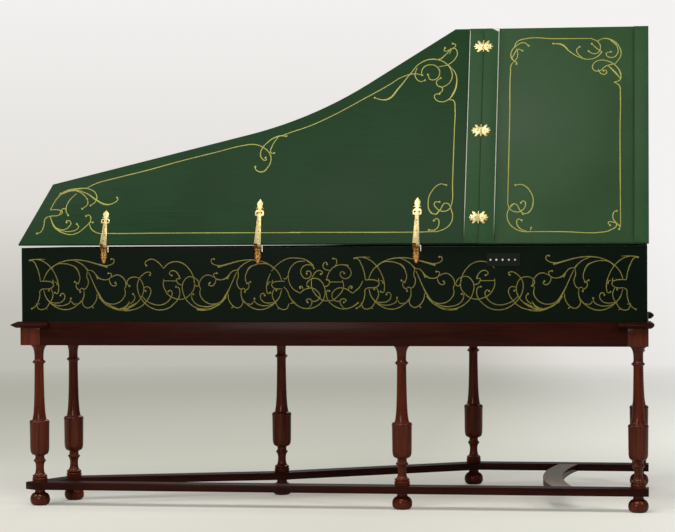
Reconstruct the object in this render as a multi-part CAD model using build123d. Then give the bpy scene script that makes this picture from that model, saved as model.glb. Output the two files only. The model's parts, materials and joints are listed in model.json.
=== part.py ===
from build123d import *

# A harpsichord with two manuals and three sets of strings, on a separate
# seven-legged stand, with its lid propped open. Millimetres, +Z up.
# X runs from the pointed tail to the keyboards and Y from the long straight
# spine to the bentside and cheek. Everything is drawn from the corner where
# spine and tail meet, on the floor, and moved at the end so that the origin
# lies under the leg at the keyboard end of the spine.

import os
from math import atan2, cos, degrees, hypot, radians, sin, tan

# Case outline
case_length = 2300.0
case_width = 871.0
case_height = 273.0
wall = 14.0
bottom_thickness = 14.0
tail_angle = 66.4
tail_length = 260.0
bentside_tail_angle = 15.3
bentside_cheek_angle = 35.3
bentside_radius = 1400.0
cheek_length = 709.0

# Stand
stand_height = 686.0
rail_height = 88.0
rail_thickness = 22.0
stand_margin = 4.0
block_size = 75.0
tail_block_size = 100.0
middle_block_depth = 48.0
bend_block_size = 56.0
bend_leg_distance = 0.3465 * case_length
middle_leg_x = 0.6135 * case_length
cheek_leg_x = case_length - 687.0
tail_leg_shift = (6.0, 3.0)
bend_leg_tail_shift = (12.0, -4.0)
stretcher_bottom = 60.0
stretcher_thickness = 27.0
stretcher_width = 70.0
stretcher_nose = 38.0
crescent_width = 74.0
crescent_x = case_length - 309.0
crescent_bulge = 46.0
moulding_length = 108.0
moulding_height = 23.0
moulding_reach = 21.0

# Turned pieces
turned_sides = 16
leg_base_radius = 28.5
leg_waist_radius = 15.5
leg_bead_radius = 22.5
leg_neck_radius = 17.0
leg_vase_radius = 35.5
leg_shoulder_radius = 27.0
leg_ring_radius = 23.0
foot_neck_radius = 20.5
foot_ball_radius = 36.5
foot_flat_radius = 25.0

# Lid
lid_open_angle = 65.4
lid_thickness = 12.0
lid_overhang = 9.0
front_overhang = 6.0
lid_seat_gap = 0.3
flap_joint_x = case_length - 604.5
joint_gap = 0.5
cleat_width = 53.0
flap_cleat_width = 58.0
cleat_height = 12.0
cleat_bevel = 32.0
cleat_round = 8.0
prop_x = flap_joint_x - 55.5
prop_angle = 145.0
prop_width = 18.0
prop_thickness = 14.0

# Brass hinges
knuckle_radius = 4.4
hinge_axis_out = 4.8
hinge_axis_up = 5.0
hinge_pin_radius = 1.8
pin_clearance = 0.06
leaf_thickness = 2.0
strap_width = 27.0
strap_places = [(0.136 * case_length, 137.0), (0.3865 * case_length, 180.0), (0.6393 * case_length, 183.0)]
case_leaf_length = 61.0
butterfly_places = [0.11 * case_width, 0.513 * case_width, 0.916 * case_width]
butterfly_reach = 35.0
butterfly_height = 48.0
butterfly_thickness = 1.5
butterfly_barrel_radius = 2.4

# Soundboard, wrest plank and strings
soundboard_drop = 88.0
soundboard_thickness = 3.5
liner_width = 16.0
liner_height = 40.0
belly_rail_thickness = 22.0
gap_start = case_length - 550.0
gap_width = 67.0
wrest_plank_width = 213.0
wrest_plank_thickness = 40.0
side_block_width = 20.0
side_block_length = 129.0
brace_places = [gap_start * share for share in (0.26, 0.46, 0.66, 0.84)]
brace_thickness = 16.0
brace_height = 80.0
long_bridge_height = 16.0
short_bridge_height = 9.0
long_bridge_width = 12.0
short_bridge_width = 8.0
bridge_overrun = 10.0
long_nut_bass = gap_start + 230.0
long_nut_treble = gap_start + 130.0
short_nut_bass = gap_start + 140.0
short_nut_treble = gap_start + 76.0
long_treble_length = 350.0
long_bass_length = 0.713 * case_length
short_treble_length = 177.0
short_bass_length = 0.37 * case_length
bass_string_steps = (20.0, 12.0)
least_string_lengths = (150.0, 86.0)
string_radius = 0.5
string_offset = 5.0
string_overrun = 24.0
second_string_overrun = 38.0
tuning_pin_size = 5.0
tuning_pin_height = 32.0

# Keyboards
note_count = 56
lowest_note = 7
keyboard_side = 52.7
natural_pitch = (case_width - 2 * keyboard_side) / 33
key_gap = 1.0
lever_width = 0.474 * natural_pitch
lever_shift = -1.0
key_thickness = 14.0
head_length = 42.0
sharp_height = 12.0
lower_key_top = 790.0
upper_key_top = 822.0
lower_front = case_length - 16.0
upper_front = lower_front - 119.0
lower_balance = lower_front - 249.0
upper_balance = upper_front - 180.0
balance_width = 30.0
ridge_width = 4.0
under_key_gap = 1.5
key_side_gap = 0.7
seat_gap = 0.3
lower_dip = 8.0
upper_dip = 7.0
rest_gap = 0.3

# Jacks and registers
row_places = [gap_start + 11.0, gap_start + 33.5, gap_start + 56.0]
lower_tail = row_places[0] - 8.0
upper_tail = row_places[2] - 6.0
jack_width = 12.0
jack_thickness = 4.0
jack_above_string = 25.0
jack_shift = 1.5
register_width = 20.0
register_thickness = 16.0
register_top_drop = 5.0
register_travel = 2.0
jack_rail_thickness = 24.0
jack_rail_foot = 10.0
lever_pivot_x = gap_start + 100.0
lever_y = 36.0
lever_bar_width = 10.0
lever_bar_thickness = 4.0
lever_reach = 34.0
lever_pin_radius = 3.0
nameboard_thickness = 12.0

# Register adjusting plate on the spine
plate_start = gap_start - 23.4
plate_width = 118.7
plate_drop = 25.0
plate_height = 46.0
plate_thickness = 3.0
screw_radius = 2.5
screw_head_radius = 3.5
screw_head_height = 2.5
screw_clearance = 0.1
fixing_screw_length = 10.0
fixing_screw_places = [plate_start + 13.4, plate_start + 101.4]

# Levels and places that follow from the sizes above
case_top = stand_height + case_height
floor_top = stand_height + bottom_thickness
soundboard_top = case_top - soundboard_drop
soundboard_bottom = soundboard_top - soundboard_thickness
string_level = soundboard_top + long_bridge_height
short_string_level = soundboard_top + short_bridge_height
wrest_plank_start = gap_start + gap_width
wrest_plank_end = wrest_plank_start + wrest_plank_width
wrest_plank_bottom = soundboard_top - wrest_plank_thickness
board_front = wrest_plank_end + nameboard_thickness
key_block_start = gap_start + side_block_length + 6
upper_ledge = upper_key_top - key_thickness - 9
keyboard_width = 33 * natural_pitch
keyboard_start = keyboard_side
note_pitch = keyboard_width / note_count
register_top = soundboard_top - register_top_drop
register_bottom = register_top - register_thickness
jack_top = string_level + jack_above_string
jack_rail_bottom = jack_top + lower_dip + 1.0
screw_level = case_top - plate_drop - plate_height / 2
leg_bottom = stretcher_bottom + stretcher_thickness
leg_top = stand_height - rail_height
inset = block_size / 2 - stand_margin

black_notes = {1, 3, 6, 8, 10}
sharps = [i for i in range(note_count) if (i + lowest_note) % 12 in black_notes]
naturals = [i for i in range(note_count) if i not in sharps]

tail_direction = (cos(radians(tail_angle)), sin(radians(tail_angle)))
bend_direction = (cos(radians(bentside_tail_angle)), sin(radians(bentside_tail_angle)))


def along(point, direction, distance):
    """The point that lies a distance from another along a direction."""
    return (point[0] + direction[0] * distance, point[1] + direction[1] * distance)


def crossing(p, angle_p, q, angle_q):
    """Where the line through p meets the line through q, angles in degrees."""
    slope_p = tan(radians(angle_p))
    slope_q = tan(radians(angle_q))
    x = (q[1] - p[1] + slope_p * p[0] - slope_q * q[0]) / (slope_p - slope_q)
    return (x, p[1] + slope_p * (x - p[0]))


tail_corner = along((0, 0), tail_direction, tail_length)
cheek_corner = (case_length - cheek_length, case_width)
bend_apex = crossing(tail_corner, bentside_tail_angle, cheek_corner, bentside_cheek_angle)


def flat(points):
    """A face with straight sides."""
    return make_face(Polyline(*points, close=True))


def slab(face, low, high):
    """A flat face raised between two levels."""
    return Pos(0, 0, low) * extrude(face, high - low)


def block(x0, x1, y0, y1, z0, z1):
    """A box between two corners."""
    corner = (Align.MIN, Align.MIN, Align.MIN)
    return Pos(x0, y0, z0) * Box(x1 - x0, y1 - y0, z1 - z0, align=corner)


def side_profile(points, y0, y1):
    """An outline in X and Z, thickened from y0 to y1."""
    face = Plane.XZ * flat(points)
    return Pos(0, y1, 0) * extrude(face, y1 - y0)


def end_profile(points, x0, x1):
    """An outline in Y and Z, thickened from x0 to x1."""
    face = Plane.YZ * flat(points)
    return Pos(x0, 0, 0) * extrude(face, x1 - x0)


def turned(*profile):
    """A turned piece about Z, drawn with many flat sides, from the radius and
    level of each change in its outline."""
    return loft([Pos(0, 0, z) * RegularPolygon(r, turned_sides) for r, z in profile], ruled=True)


def bar_along_x(x0, x1, y, z, section):
    """A bar of one section that runs along X."""
    return Pos(x0, y, z) * extrude(Plane.YZ * section, x1 - x0)


def small_round(radius):
    """The section of a small round part, drawn with eight sides."""
    return RegularPolygon(radius, 8)


def group(solids):
    """Separate solids that share one node."""
    return Compound([solid for item in solids for solid in item.solids()])


def case_outline():
    """The outside of the case from above, with the curved bentside."""
    corners = [(0, 0), (case_length, 0), (case_length, case_width), cheek_corner, bend_apex, tail_corner]
    face = flat(corners)
    apex = face.vertices().sort_by_distance((bend_apex[0], bend_apex[1], 0))[0]
    return fillet(apex, bentside_radius)


outline = case_outline()
inside = offset(outline, -wall) + Pos(case_length - 2 * wall, wall) * Rectangle(
    2 * wall, case_width - 2 * wall, align=(Align.MIN, Align.MIN)
)


def strip(face, x0, x1):
    """The part of a face between two places along X."""
    width = 3 * case_width
    window = Pos(x0, -case_width) * Rectangle(x1 - x0, width, align=(Align.MIN, Align.MIN))
    return face & window


def screw_holes():
    """Holes through the spine and its plate for the five screws."""
    section = Plane.XZ * small_round(screw_radius + screw_clearance)
    hole = extrude(section, wall + plate_thickness)
    places = row_places + fixing_screw_places
    return [Pos(x, wall, screw_level) * hole for x in places]


def case_walls():
    """Spine, tail, bentside and cheek, cut from one ring."""
    ring = outline - inside
    spine_zone = Rectangle(case_length, wall, align=(Align.MIN, Align.MIN))
    spine_face = ring & spine_zone
    rest = ring - spine_zone
    cheek_face = strip(rest, cheek_corner[0], case_length)
    rest = strip(rest, 0, cheek_corner[0])
    mitre = radians((tail_angle + bentside_tail_angle + 180) / 2 + 180)
    reach = 4 * wall
    inner = along(tail_corner, (cos(mitre), sin(mitre)), reach)
    outer = along(tail_corner, (cos(mitre), sin(mitre)), -reach)
    tail_zone = flat([outer, inner, (inner[0], -reach), (-tail_length, -reach), (-tail_length, outer[1])])
    tail_face = rest & tail_zone
    bentside_face = rest - tail_zone
    names = ["case_spine", "case_tail", "case_bentside", "case_cheek"]
    faces = [spine_face, tail_face, bentside_face, cheek_face]
    walls = {name: slab(face, stand_height, case_top) for name, face in zip(names, faces)}
    walls["case_spine"] -= screw_holes()
    return walls


def case_inside():
    """Bottom, front rail, braces, liners, belly rail and soundboard."""
    bottom = slab(strip(inside, 0, case_length), stand_height, floor_top)
    front = block(case_length - wall, case_length, wall, case_width - wall, floor_top, floor_top + 65)
    cavity = slab(inside, floor_top, floor_top + brace_height)
    braces = []
    for x in brace_places:
        cross = block(x, x + brace_thickness, wall, case_width, floor_top, floor_top + brace_height)
        braces.append(cross & cavity)
    belly_start = gap_start - belly_rail_thickness
    liner_face = strip(inside - offset(inside, -liner_width), 0, belly_start)
    liners = slab(liner_face, soundboard_bottom - liner_height, soundboard_bottom)
    belly = block(belly_start, gap_start, wall, case_width - wall, floor_top, soundboard_bottom)
    board = slab(strip(inside, 0, gap_start), soundboard_bottom, soundboard_top)
    return {
        "case_bottom": bottom,
        "case_front_rail": front,
        "case_braces": group(braces),
        "soundboard_liner": liners,
        "belly_rail": belly,
        "soundboard": board,
    }


def string_length(note, treble, bass, step, least):
    """Sounding length of a string: it doubles with each octave down from the
    treble until it meets the shorter line that the case leaves for the bass."""
    just = treble * 2 ** ((41 - note) / 12)
    return max(min(just, bass - step * note), least)


def long_string_length(note):
    """Sounding length of an 8 foot string."""
    step, least = bass_string_steps[0], least_string_lengths[0]
    return string_length(note, long_treble_length, long_bass_length, step, least)


def short_string_length(note):
    """Sounding length of a 4 foot string."""
    step, least = bass_string_steps[1], least_string_lengths[1]
    return string_length(note, short_treble_length, short_bass_length, step, least)


def note_y(note):
    """The middle of a note's key lever, jack and strings."""
    return keyboard_start + (note + 0.5) * note_pitch + lever_shift


def between(bass, treble, note):
    """A place that moves evenly from the lowest note to the highest."""
    return bass + (treble - bass) * note / (note_count - 1)


def long_nut_x(note):
    return between(long_nut_bass, long_nut_treble, note)


def short_nut_x(note):
    return between(short_nut_bass, short_nut_treble, note)


def bridge_on(points, width, height):
    """A bridge: a band of even width along a bent line on the soundboard."""
    left, right = [], []
    for i, (x, y) in enumerate(points):
        ahead = points[min(i + 1, len(points) - 1)]
        behind = points[max(i - 1, 0)]
        turn = atan2(ahead[1] - behind[1], ahead[0] - behind[0])
        across = (-sin(turn), cos(turn))
        left.append(along((x, y), across, width / 2))
        right.append(along((x, y), across, -width / 2))
    return slab(flat(left + right[::-1]), soundboard_top, soundboard_top + height)


def run_on(curve):
    """A curve with both of its ends run on a little."""
    ends = []
    for last, before in ((curve[0], curve[1]), (curve[-1], curve[-2])):
        run = (last[0] - before[0], last[1] - before[1])
        ends.append(along(last, run, bridge_overrun / hypot(*run)))
    return [ends[0], *curve, ends[1]]


def nut_on(place, width, height):
    """A straight nut on the wrest plank, under one end of the strings."""
    last = note_count - 1
    y0 = note_y(0) - bridge_overrun
    y1 = note_y(last) + bridge_overrun
    x0, x1 = place(0), place(last)
    half = width / 2
    corners = [(x0 - half, y0), (x0 + half, y0), (x1 + half, y1), (x1 - half, y1)]
    return slab(flat(corners), soundboard_top, soundboard_top + height)


def bridges_and_nuts():
    """The two curved bridges and the two straight nuts."""
    samples = range(0, note_count, 5)
    long_curve = [(long_nut_x(i) - long_string_length(i), note_y(i)) for i in samples]
    short_curve = [(short_nut_x(i) - short_string_length(i), note_y(i)) for i in samples]
    bridges = [
        bridge_on(run_on(long_curve), long_bridge_width, long_bridge_height),
        bridge_on(run_on(short_curve), short_bridge_width, short_bridge_height),
    ]
    nuts = [
        nut_on(long_nut_x, long_bridge_width, long_bridge_height),
        nut_on(short_nut_x, short_bridge_width, short_bridge_height),
    ]
    return {"bridges": group(bridges), "nuts": group(nuts)}


def string_set(shift, level, nut_place, length, tail, overrun, pin_top):
    """One string a note, resting on its bridge and its nut, and its pin."""
    strings, pins = [], []
    pin = RegularPolygon(tuning_pin_size / 2, 3, rotation=180)
    for i in range(note_count):
        y = note_y(i) + shift
        end = nut_place(i) + overrun
        start = nut_place(i) - length(i) - tail
        seat = level + string_radius / 2
        section = Plane.YZ * Pos(y, seat) * RegularPolygon(string_radius, 3, rotation=90)
        strings.append(Pos(start, 0, 0) * extrude(section, end - start))
        pins.append(Pos(end + tuning_pin_size / 2, y) * slab(pin, soundboard_top, pin_top))
    return strings, pins


def stringing():
    """Three sets of strings. The 4 foot set lies lower, and its pins end
    below the 8 foot strings that pass over them."""
    high = soundboard_top + tuning_pin_height
    low = string_level - 2
    long = (string_level, long_nut_x, long_string_length, string_overrun)
    back, back_pins = string_set(-string_offset, *long, string_overrun, high)
    front, front_pins = string_set(string_offset, *long, second_string_overrun, high)
    short = (short_string_level, short_nut_x, short_string_length, short_bridge_width)
    short, short_pins = string_set(-string_offset, *short, string_overrun, low)
    return {
        "strings_8ft": group(back + front),
        "strings_4ft": group(short),
        "tuning_pins": group(back_pins + front_pins + short_pins),
    }


def plank_and_blocks():
    """The wrest plank and the two stepped blocks that carry it and the
    ends of the registers."""
    plank = block(
        wrest_plank_start, wrest_plank_end, wall, case_width - wall, wrest_plank_bottom, soundboard_top
    )
    profile = [
        (gap_start, floor_top),
        (gap_start + side_block_length, floor_top),
        (gap_start + side_block_length, wrest_plank_bottom),
        (wrest_plank_start, wrest_plank_bottom),
        (wrest_plank_start, register_bottom),
        (gap_start, register_bottom),
    ]
    ends = [wall, case_width - wall - side_block_width]
    blocks = [side_profile(profile, y, y + side_block_width) for y in ends]
    return {"wrest_plank": plank, "wrest_plank_blocks": group(blocks)}


def natural_keys(front, tail, top):
    """Naturals: a wide head at the front and a narrow lever behind it."""
    keys = []
    for place, note in enumerate(naturals):
        y0 = keyboard_start + place * natural_pitch + key_gap / 2
        y1 = y0 + natural_pitch - key_gap
        half = lever_width / 2
        low, high = note_y(note) - half, note_y(note) + half
        neck = front - head_length
        head = [(neck, low), (neck, y0), (front, y0), (front, y1), (neck, y1), (neck, high)]
        corners = head + [(tail, high), (tail, low)]
        keys.append(slab(flat(corners), top - key_thickness, top))
    return group(keys)


def sharp_keys(front, tail, top, raised_from):
    """Sharps: a lever with a raised block that slopes at the player's end."""
    end = front - head_length - 2
    low = top - key_thickness
    peak = top + sharp_height
    raised = [(end, top), (end - 5, peak), (raised_from, peak), (raised_from, top)]
    profile = [(tail, low), (end, low), *raised, (tail, top)]
    half = lever_width / 2
    return group([side_profile(profile, note_y(i) - half, note_y(i) + half) for i in sharps])


def lower_frame():
    """The frame under the lower keys: a rest for their tails, a balance rail
    with its ridge, a front rail that stops them and a board at each side."""
    low = lower_key_top - key_thickness
    y0 = keyboard_start + key_side_gap
    y1 = case_width - y0
    half, ridge = balance_width / 2, ridge_width / 2
    board = 30.0
    front = lower_front - 4
    frame = block(lower_tail, lower_tail + 22, y0, y1, floor_top, low - rest_gap)
    frame += block(lower_balance - half, lower_balance + half, y0, y1, floor_top, low - under_key_gap)
    frame += block(lower_balance - ridge, lower_balance + ridge, y0, y1, low - under_key_gap, low - rest_gap)
    frame += block(front - board, front, y0, y1, floor_top, low - lower_dip - 0.5)
    for y in (y0, y1 - board):
        frame += block(lower_tail, front, y, y + board, floor_top, floor_top + 20)
    return frame


def upper_frame():
    """The frame under the upper keys, carried by the key blocks. It is narrow
    where it passes between the blocks of the wrest plank."""
    low = upper_key_top - key_thickness
    seat = low - under_key_gap
    side = wall + seat_gap
    far = case_width - side
    narrow = wall + side_block_width + seat_gap
    inner = keyboard_start - key_side_gap
    half, ridge = balance_width / 2, ridge_width / 2
    tail, front = upper_tail + 2, upper_front
    frame = block(tail, tail + 14, narrow, case_width - narrow, upper_ledge, low - rest_gap)
    frame += block(upper_balance - half, upper_balance + half, side, far, upper_ledge, seat)
    frame += block(upper_balance - ridge, upper_balance + ridge, side, far, seat, low - rest_gap)
    frame += block(front - 24, front - 4, side, far, upper_ledge - 2, low - upper_dip - 0.5)
    for y0, y1 in ((narrow, inner), (case_width - inner, case_width - narrow)):
        frame += block(tail, key_block_start, y0, y1, upper_ledge, seat)
    for y0, y1 in ((side, inner), (case_width - inner, far)):
        frame += block(key_block_start, front, y0, y1, upper_ledge, seat)
        frame += block(board_front + 4, front, y0, y1, seat, upper_key_top + sharp_height - 1)
    return frame


def key_end_blocks():
    """The stepped blocks at both ends of the keyboards."""
    high = lower_key_top + sharp_height
    notch_back, notch_front = upper_front - 26, upper_front + 4
    profile = [
        (key_block_start, floor_top),
        (lower_front, floor_top),
        (lower_front, high),
        (notch_front, high),
        (notch_front, upper_ledge - 2),
        (notch_back, upper_ledge - 2),
        (notch_back, upper_ledge),
        (key_block_start, upper_ledge),
    ]
    outer, inner = wall + seat_gap, keyboard_start - key_side_gap
    ends = [(outer, inner), (case_width - inner, case_width - outer)]
    return group([side_profile(profile, y0, y1) for y0, y1 in ends])


def keyboards():
    """Both manuals and what carries them."""
    lower = (lower_front, lower_tail, lower_key_top)
    upper = (upper_front, upper_tail, upper_key_top)
    return {
        "lower_naturals": natural_keys(*lower),
        "lower_sharps": sharp_keys(*lower, upper_front + 6),
        "upper_naturals": natural_keys(*upper),
        "upper_sharps": sharp_keys(*upper, board_front + 8),
        "lower_key_frame": lower_frame(),
        "upper_key_frame": upper_frame(),
        "key_blocks": key_end_blocks(),
    }


def jack_row(x, shift, bottom, top):
    """One jack a note, standing on the key levers: first those of the
    naturals and then those of the sharps."""
    half_x, half_y = jack_width / 2, jack_thickness / 2
    rows = []
    for notes in (naturals, sharps):
        places = [note_y(i) + shift for i in notes]
        jacks = [block(x - half_x, x + half_x, y - half_y, y + half_y, bottom, top) for y in places]
        rows.append(group(jacks))
    return rows


def register(x, peg_y):
    """A slotted guide with an upstand at the spine, for its adjusting screw,
    and a notch for the peg of its stop lever, if it has one."""
    half = register_width / 2
    y0 = wall + 0.4
    y1 = case_width - wall - register_travel - 1.5
    bar = block(x - half, x + half, y0, y1, register_bottom, register_top)
    slot_half = jack_width / 2 + 0.3
    slot_start = note_y(0) - jack_thickness - jack_shift
    slot_end = note_y(note_count - 1) + jack_thickness + jack_shift
    bar -= block(x - slot_half, x + slot_half, slot_start, slot_end, register_bottom, register_top)
    bar += block(x - half, x + half, y0, y0 + 11, register_top, screw_level + 7)
    if peg_y:
        notch = 3.0
        bar -= block(x - notch, x + notch, peg_y - notch, peg_y + notch, register_top - 8, register_top)
    return bar


def stop_lever(row_x, y):
    """A flat bar on the wrest plank, pivoted, with a square peg in its
    register and a knob in front of the nameboard."""
    low = soundboard_top + 2
    high = low + lever_bar_thickness
    half = lever_bar_width / 2
    front = board_front + lever_reach
    bar = block(row_x - half, front, y - half, y + half, low, high)
    bar -= Pos(lever_pivot_x, y, low) * Cylinder(
        lever_pin_radius + pin_clearance, 3 * lever_bar_thickness
    )
    peg = 2.5
    bar += block(row_x - peg, row_x + peg, y - peg, y + peg, register_top - 6, low)
    knob = block(front - 12, front, y - half, y + half, high, high + 10)
    return bar + knob


def action():
    """Jacks, registers, jack rail, nameboard and the two stop levers."""
    back, middle, front = row_places
    levers = [(back, lever_y), (middle, case_width - lever_y)]
    lower_seat = lower_key_top + rest_gap
    upper_seat = upper_key_top + rest_gap
    rail_high = jack_rail_bottom + jack_rail_thickness
    rail_front = wrest_plank_start + 2
    side = wall + seat_gap
    rail = block(row_places[0] - 8, rail_front, side, case_width - side, jack_rail_bottom, rail_high)
    for y in (side, case_width - side - jack_rail_foot):
        rail += block(rail_front, rail_front + 20, y, y + jack_rail_foot, soundboard_top, rail_high)
    board = block(
        wrest_plank_end, board_front, wall, case_width - wall,
        upper_key_top + sharp_height + 4, case_top - 18,
    )
    pins = []
    for _, y in levers:
        reach = lever_bar_width / 2 + 7
        board -= block(
            wrest_plank_end, board_front, y - reach, y + reach,
            soundboard_top + 1, soundboard_top + 4 + lever_bar_thickness,
        )
        pins.append(Pos(lever_pivot_x, y, soundboard_top) * Cylinder(
            lever_pin_radius, lever_bar_thickness + 5, align=(Align.CENTER, Align.CENTER, Align.MIN)
        ))
    nodes = {}
    rows = {
        "back_8ft": (back, -jack_shift, lower_seat, jack_top),
        "4ft": (middle, -jack_shift, lower_seat, jack_top - 7),
        "front_8ft": (front, jack_shift, upper_seat, jack_top),
    }
    for row, sizes in rows.items():
        of_naturals, of_sharps = jack_row(*sizes)
        nodes[f"jacks_{row}_naturals"] = of_naturals
        nodes[f"jacks_{row}_sharps"] = of_sharps
    return nodes | {
        "register_back_8ft": register(back, levers[0][1]),
        "register_4ft": register(middle, levers[1][1]),
        "register_front_8ft": register(front, None),
        "jack_rail": rail,
        "nameboard": board,
        "stop_lever_back_8ft": stop_lever(*levers[0]),
        "stop_lever_4ft": stop_lever(*levers[1]),
        "stop_lever_pins": group(pins),
    }


def adjuster():
    """The plate on the spine and the three screws that bear on the registers."""
    plate = block(
        plate_start, plate_start + plate_width, -plate_thickness, 0,
        case_top - plate_drop - plate_height, case_top - plate_drop,
    )
    screws = []
    lengths = {x: wall + plate_thickness for x in row_places}
    lengths |= {x: fixing_screw_length for x in fixing_screw_places}
    for x, length in lengths.items():
        shaft = extrude(Plane.XZ * small_round(screw_radius), -length)
        head = extrude(Plane.XZ * small_round(screw_head_radius), screw_head_height)
        screws.append(Pos(x, -plate_thickness, screw_level) * (shaft + head))
    return {"adjuster_plate": plate - screw_holes(), "adjuster_screws": group(screws)}


# Places of the stand: its outline stands a margin outside the case
def outward(point, angle_in, angle_out, margin):
    """A corner moved out from two edges that meet there."""
    half = radians(angle_out - angle_in) / 2
    direction = radians((angle_in + angle_out) / 2 - 90)
    reach = margin / cos(half)
    return (point[0] + reach * cos(direction), point[1] + reach * sin(direction))


spine_tail_corner = outward((0, 0), tail_angle - 180, 0, stand_margin)
stand_end = case_length + stand_margin
stand_back = case_width + stand_margin
tail_bend_corner = outward(tail_corner, bentside_tail_angle + 180, tail_angle + 180, stand_margin)
bend_seat = along(tail_bend_corner, bend_direction, bend_leg_distance)


def parallelogram(corner, first, second):
    """A four-sided face from a corner and its two edges."""
    a = along(corner, first, 1)
    b = along(corner, second, 1)
    return flat([corner, a, along(a, second, 1), b])


def scaled(direction, length):
    return (direction[0] * length, direction[1] * length)


def leg_places():
    """Each leg's axis and the outline of its square top."""
    tail_block = parallelogram(
        spine_tail_corner, (block_size, 0), scaled(tail_direction, block_size + 7)
    )
    bend_tail_block = parallelogram(
        tail_bend_corner, scaled(bend_direction, tail_block_size), scaled(tail_direction, -tail_block_size)
    )
    inward = (sin(radians(bentside_tail_angle)), -cos(radians(bentside_tail_angle)))
    bend_block = parallelogram(
        bend_seat, scaled(bend_direction, bend_block_size), scaled(inward, bend_block_size)
    )
    middle_y = rail_thickness - stand_margin + middle_block_depth / 2

    def square(x, y, depth=block_size):
        return Pos(x, y) * Rectangle(block_size, depth)

    def middle(face, shift=(0, 0)):
        centre = face.center()
        return (centre.X + shift[0], centre.Y + shift[1])

    front_x = stand_end - block_size / 2
    return {
        "tail": (middle(tail_block, tail_leg_shift), tail_block),
        "middle": ((middle_leg_x, middle_y), square(middle_leg_x, middle_y, middle_block_depth)),
        "front": ((front_x, inset), square(front_x, inset)),
        "tail_bend": (middle(bend_tail_block, bend_leg_tail_shift), bend_tail_block),
        "bend": (middle(bend_block), bend_block),
        "cheek": ((cheek_leg_x, case_width - inset), square(cheek_leg_x, case_width - inset)),
        "cheek_front": ((front_x, case_width - inset), square(front_x, case_width - inset)),
    }


legs = leg_places()
leg_blocks = [slab(face, leg_top, stand_height) for _, face in legs.values()]


def turned_leg():
    """The turned part of a leg, from stretcher to rail."""
    low = leg_bottom
    top = leg_top
    return turned(
        (leg_base_radius, low),
        (leg_base_radius, low + 9),
        (leg_base_radius - 6, low + 17),
        (leg_waist_radius, low + 36),
        (leg_waist_radius, low + 70),
        (leg_bead_radius, low + 78),
        (leg_neck_radius, low + 86),
        (leg_neck_radius, low + 97),
        (leg_vase_radius - 5, low + 112),
        (leg_vase_radius, low + 145),
        (leg_vase_radius, low + 223),
        (leg_shoulder_radius, low + 231),
        (leg_neck_radius + 2.6, low + 310),
        (leg_neck_radius, top - 69),
        (leg_ring_radius, top - 64),
        (leg_neck_radius, top - 59),
        (leg_neck_radius, top - 24),
        (leg_base_radius - 1, top),
    )


def turned_foot():
    """A flattened ball under the stretcher."""
    return turned(
        (foot_flat_radius, 0),
        (foot_ball_radius - 2, 12),
        (foot_ball_radius, 24),
        (foot_ball_radius - 4, 38),
        (foot_neck_radius, 48),
        (foot_neck_radius, stretcher_bottom),
    )


def straight_board(p, q, low, high, width, side=0.0):
    """A board from p to q, its middle moved sideways to the left."""
    length = hypot(q[0] - p[0], q[1] - p[1])
    turn = degrees(atan2(q[1] - p[1], q[0] - p[0]))
    face = Pos(length / 2, side) * Rectangle(length, width)
    return slab(Pos(*p) * Rot(0, 0, turn) * face, low, high)


def without(solid, others):
    """A piece cut back to the faces of its neighbours."""
    for other in others:
        solid -= other
    return solid


def largest(shape):
    return shape.solids().sort_by(SortBy.VOLUME)[-1]


def stand_rails():
    """The deep rails between the square tops of the legs."""
    low, high = leg_top, stand_height
    half = rail_thickness / 2
    spine = block(
        spine_tail_corner[0] + block_size, stand_end - block_size,
        -stand_margin, rail_thickness - stand_margin, low, high,
    )
    cheek = block(
        cheek_leg_x, stand_end - block_size / 2, stand_back - rail_thickness, stand_back, low, high
    )
    front = block(stand_end - rail_thickness, stand_end, inset, case_width - inset, low, high)
    tail = straight_board(spine_tail_corner, tail_bend_corner, low, high, rail_thickness, -half)
    first = straight_board(tail_bend_corner, bend_seat, low, high, rail_thickness, -half)
    start = along(bend_seat, bend_direction, bend_block_size)
    end = (cheek_leg_x - block_size / 2, stand_back - rail_thickness)
    second = straight_board(start, end, low, high, rail_thickness, -half)
    far = [largest(without(board, leg_blocks)) for board in (tail, first, second)]
    return {
        "stand_rail_spine": largest(without(spine, leg_blocks)),
        "stand_rail_cheek": largest(without(cheek, leg_blocks)),
        "stand_rail_front": largest(without(front, leg_blocks)),
        "stand_rails_tail_bentside": group(far),
    }


def corner_mouldings():
    """A short nosed moulding wrapped round each outer corner of the stand."""
    reach, height = moulding_reach, moulding_height
    nose = [(0, 0), (0.45, 0), (1, 0.42), (1, 0.56), (0.3, 1), (0, 1)]
    length = moulding_length
    to_bend = scaled(tail_direction, length)
    corners = [
        (spine_tail_corner, to_bend, (length, 0)),
        ((stand_end, -stand_margin), (-length, 0), (0, length)),
        ((stand_end, stand_back), (0, -length), (-length, 0)),
        (tail_bend_corner, scaled(bend_direction, length), scaled(tail_direction, -length)),
    ]
    level = stand_height - height
    pieces = []
    for corner, first, second in corners:
        start = along(corner, first, 1)
        end = along(corner, second, 1)
        path = Polyline((*start, level), (*corner, level), (*end, level))
        run = Vector(-first[0], -first[1], 0).normalized()
        outside = run.cross(Vector(0, 0, 1))
        section = Plane(origin=(*start, level), x_dir=outside, z_dir=-run)
        face = section * flat([(a * reach, b * height) for a, b in nose])
        pieces.append(sweep(face, path, transition=Transition.RIGHT))
    return group(pieces)


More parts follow.
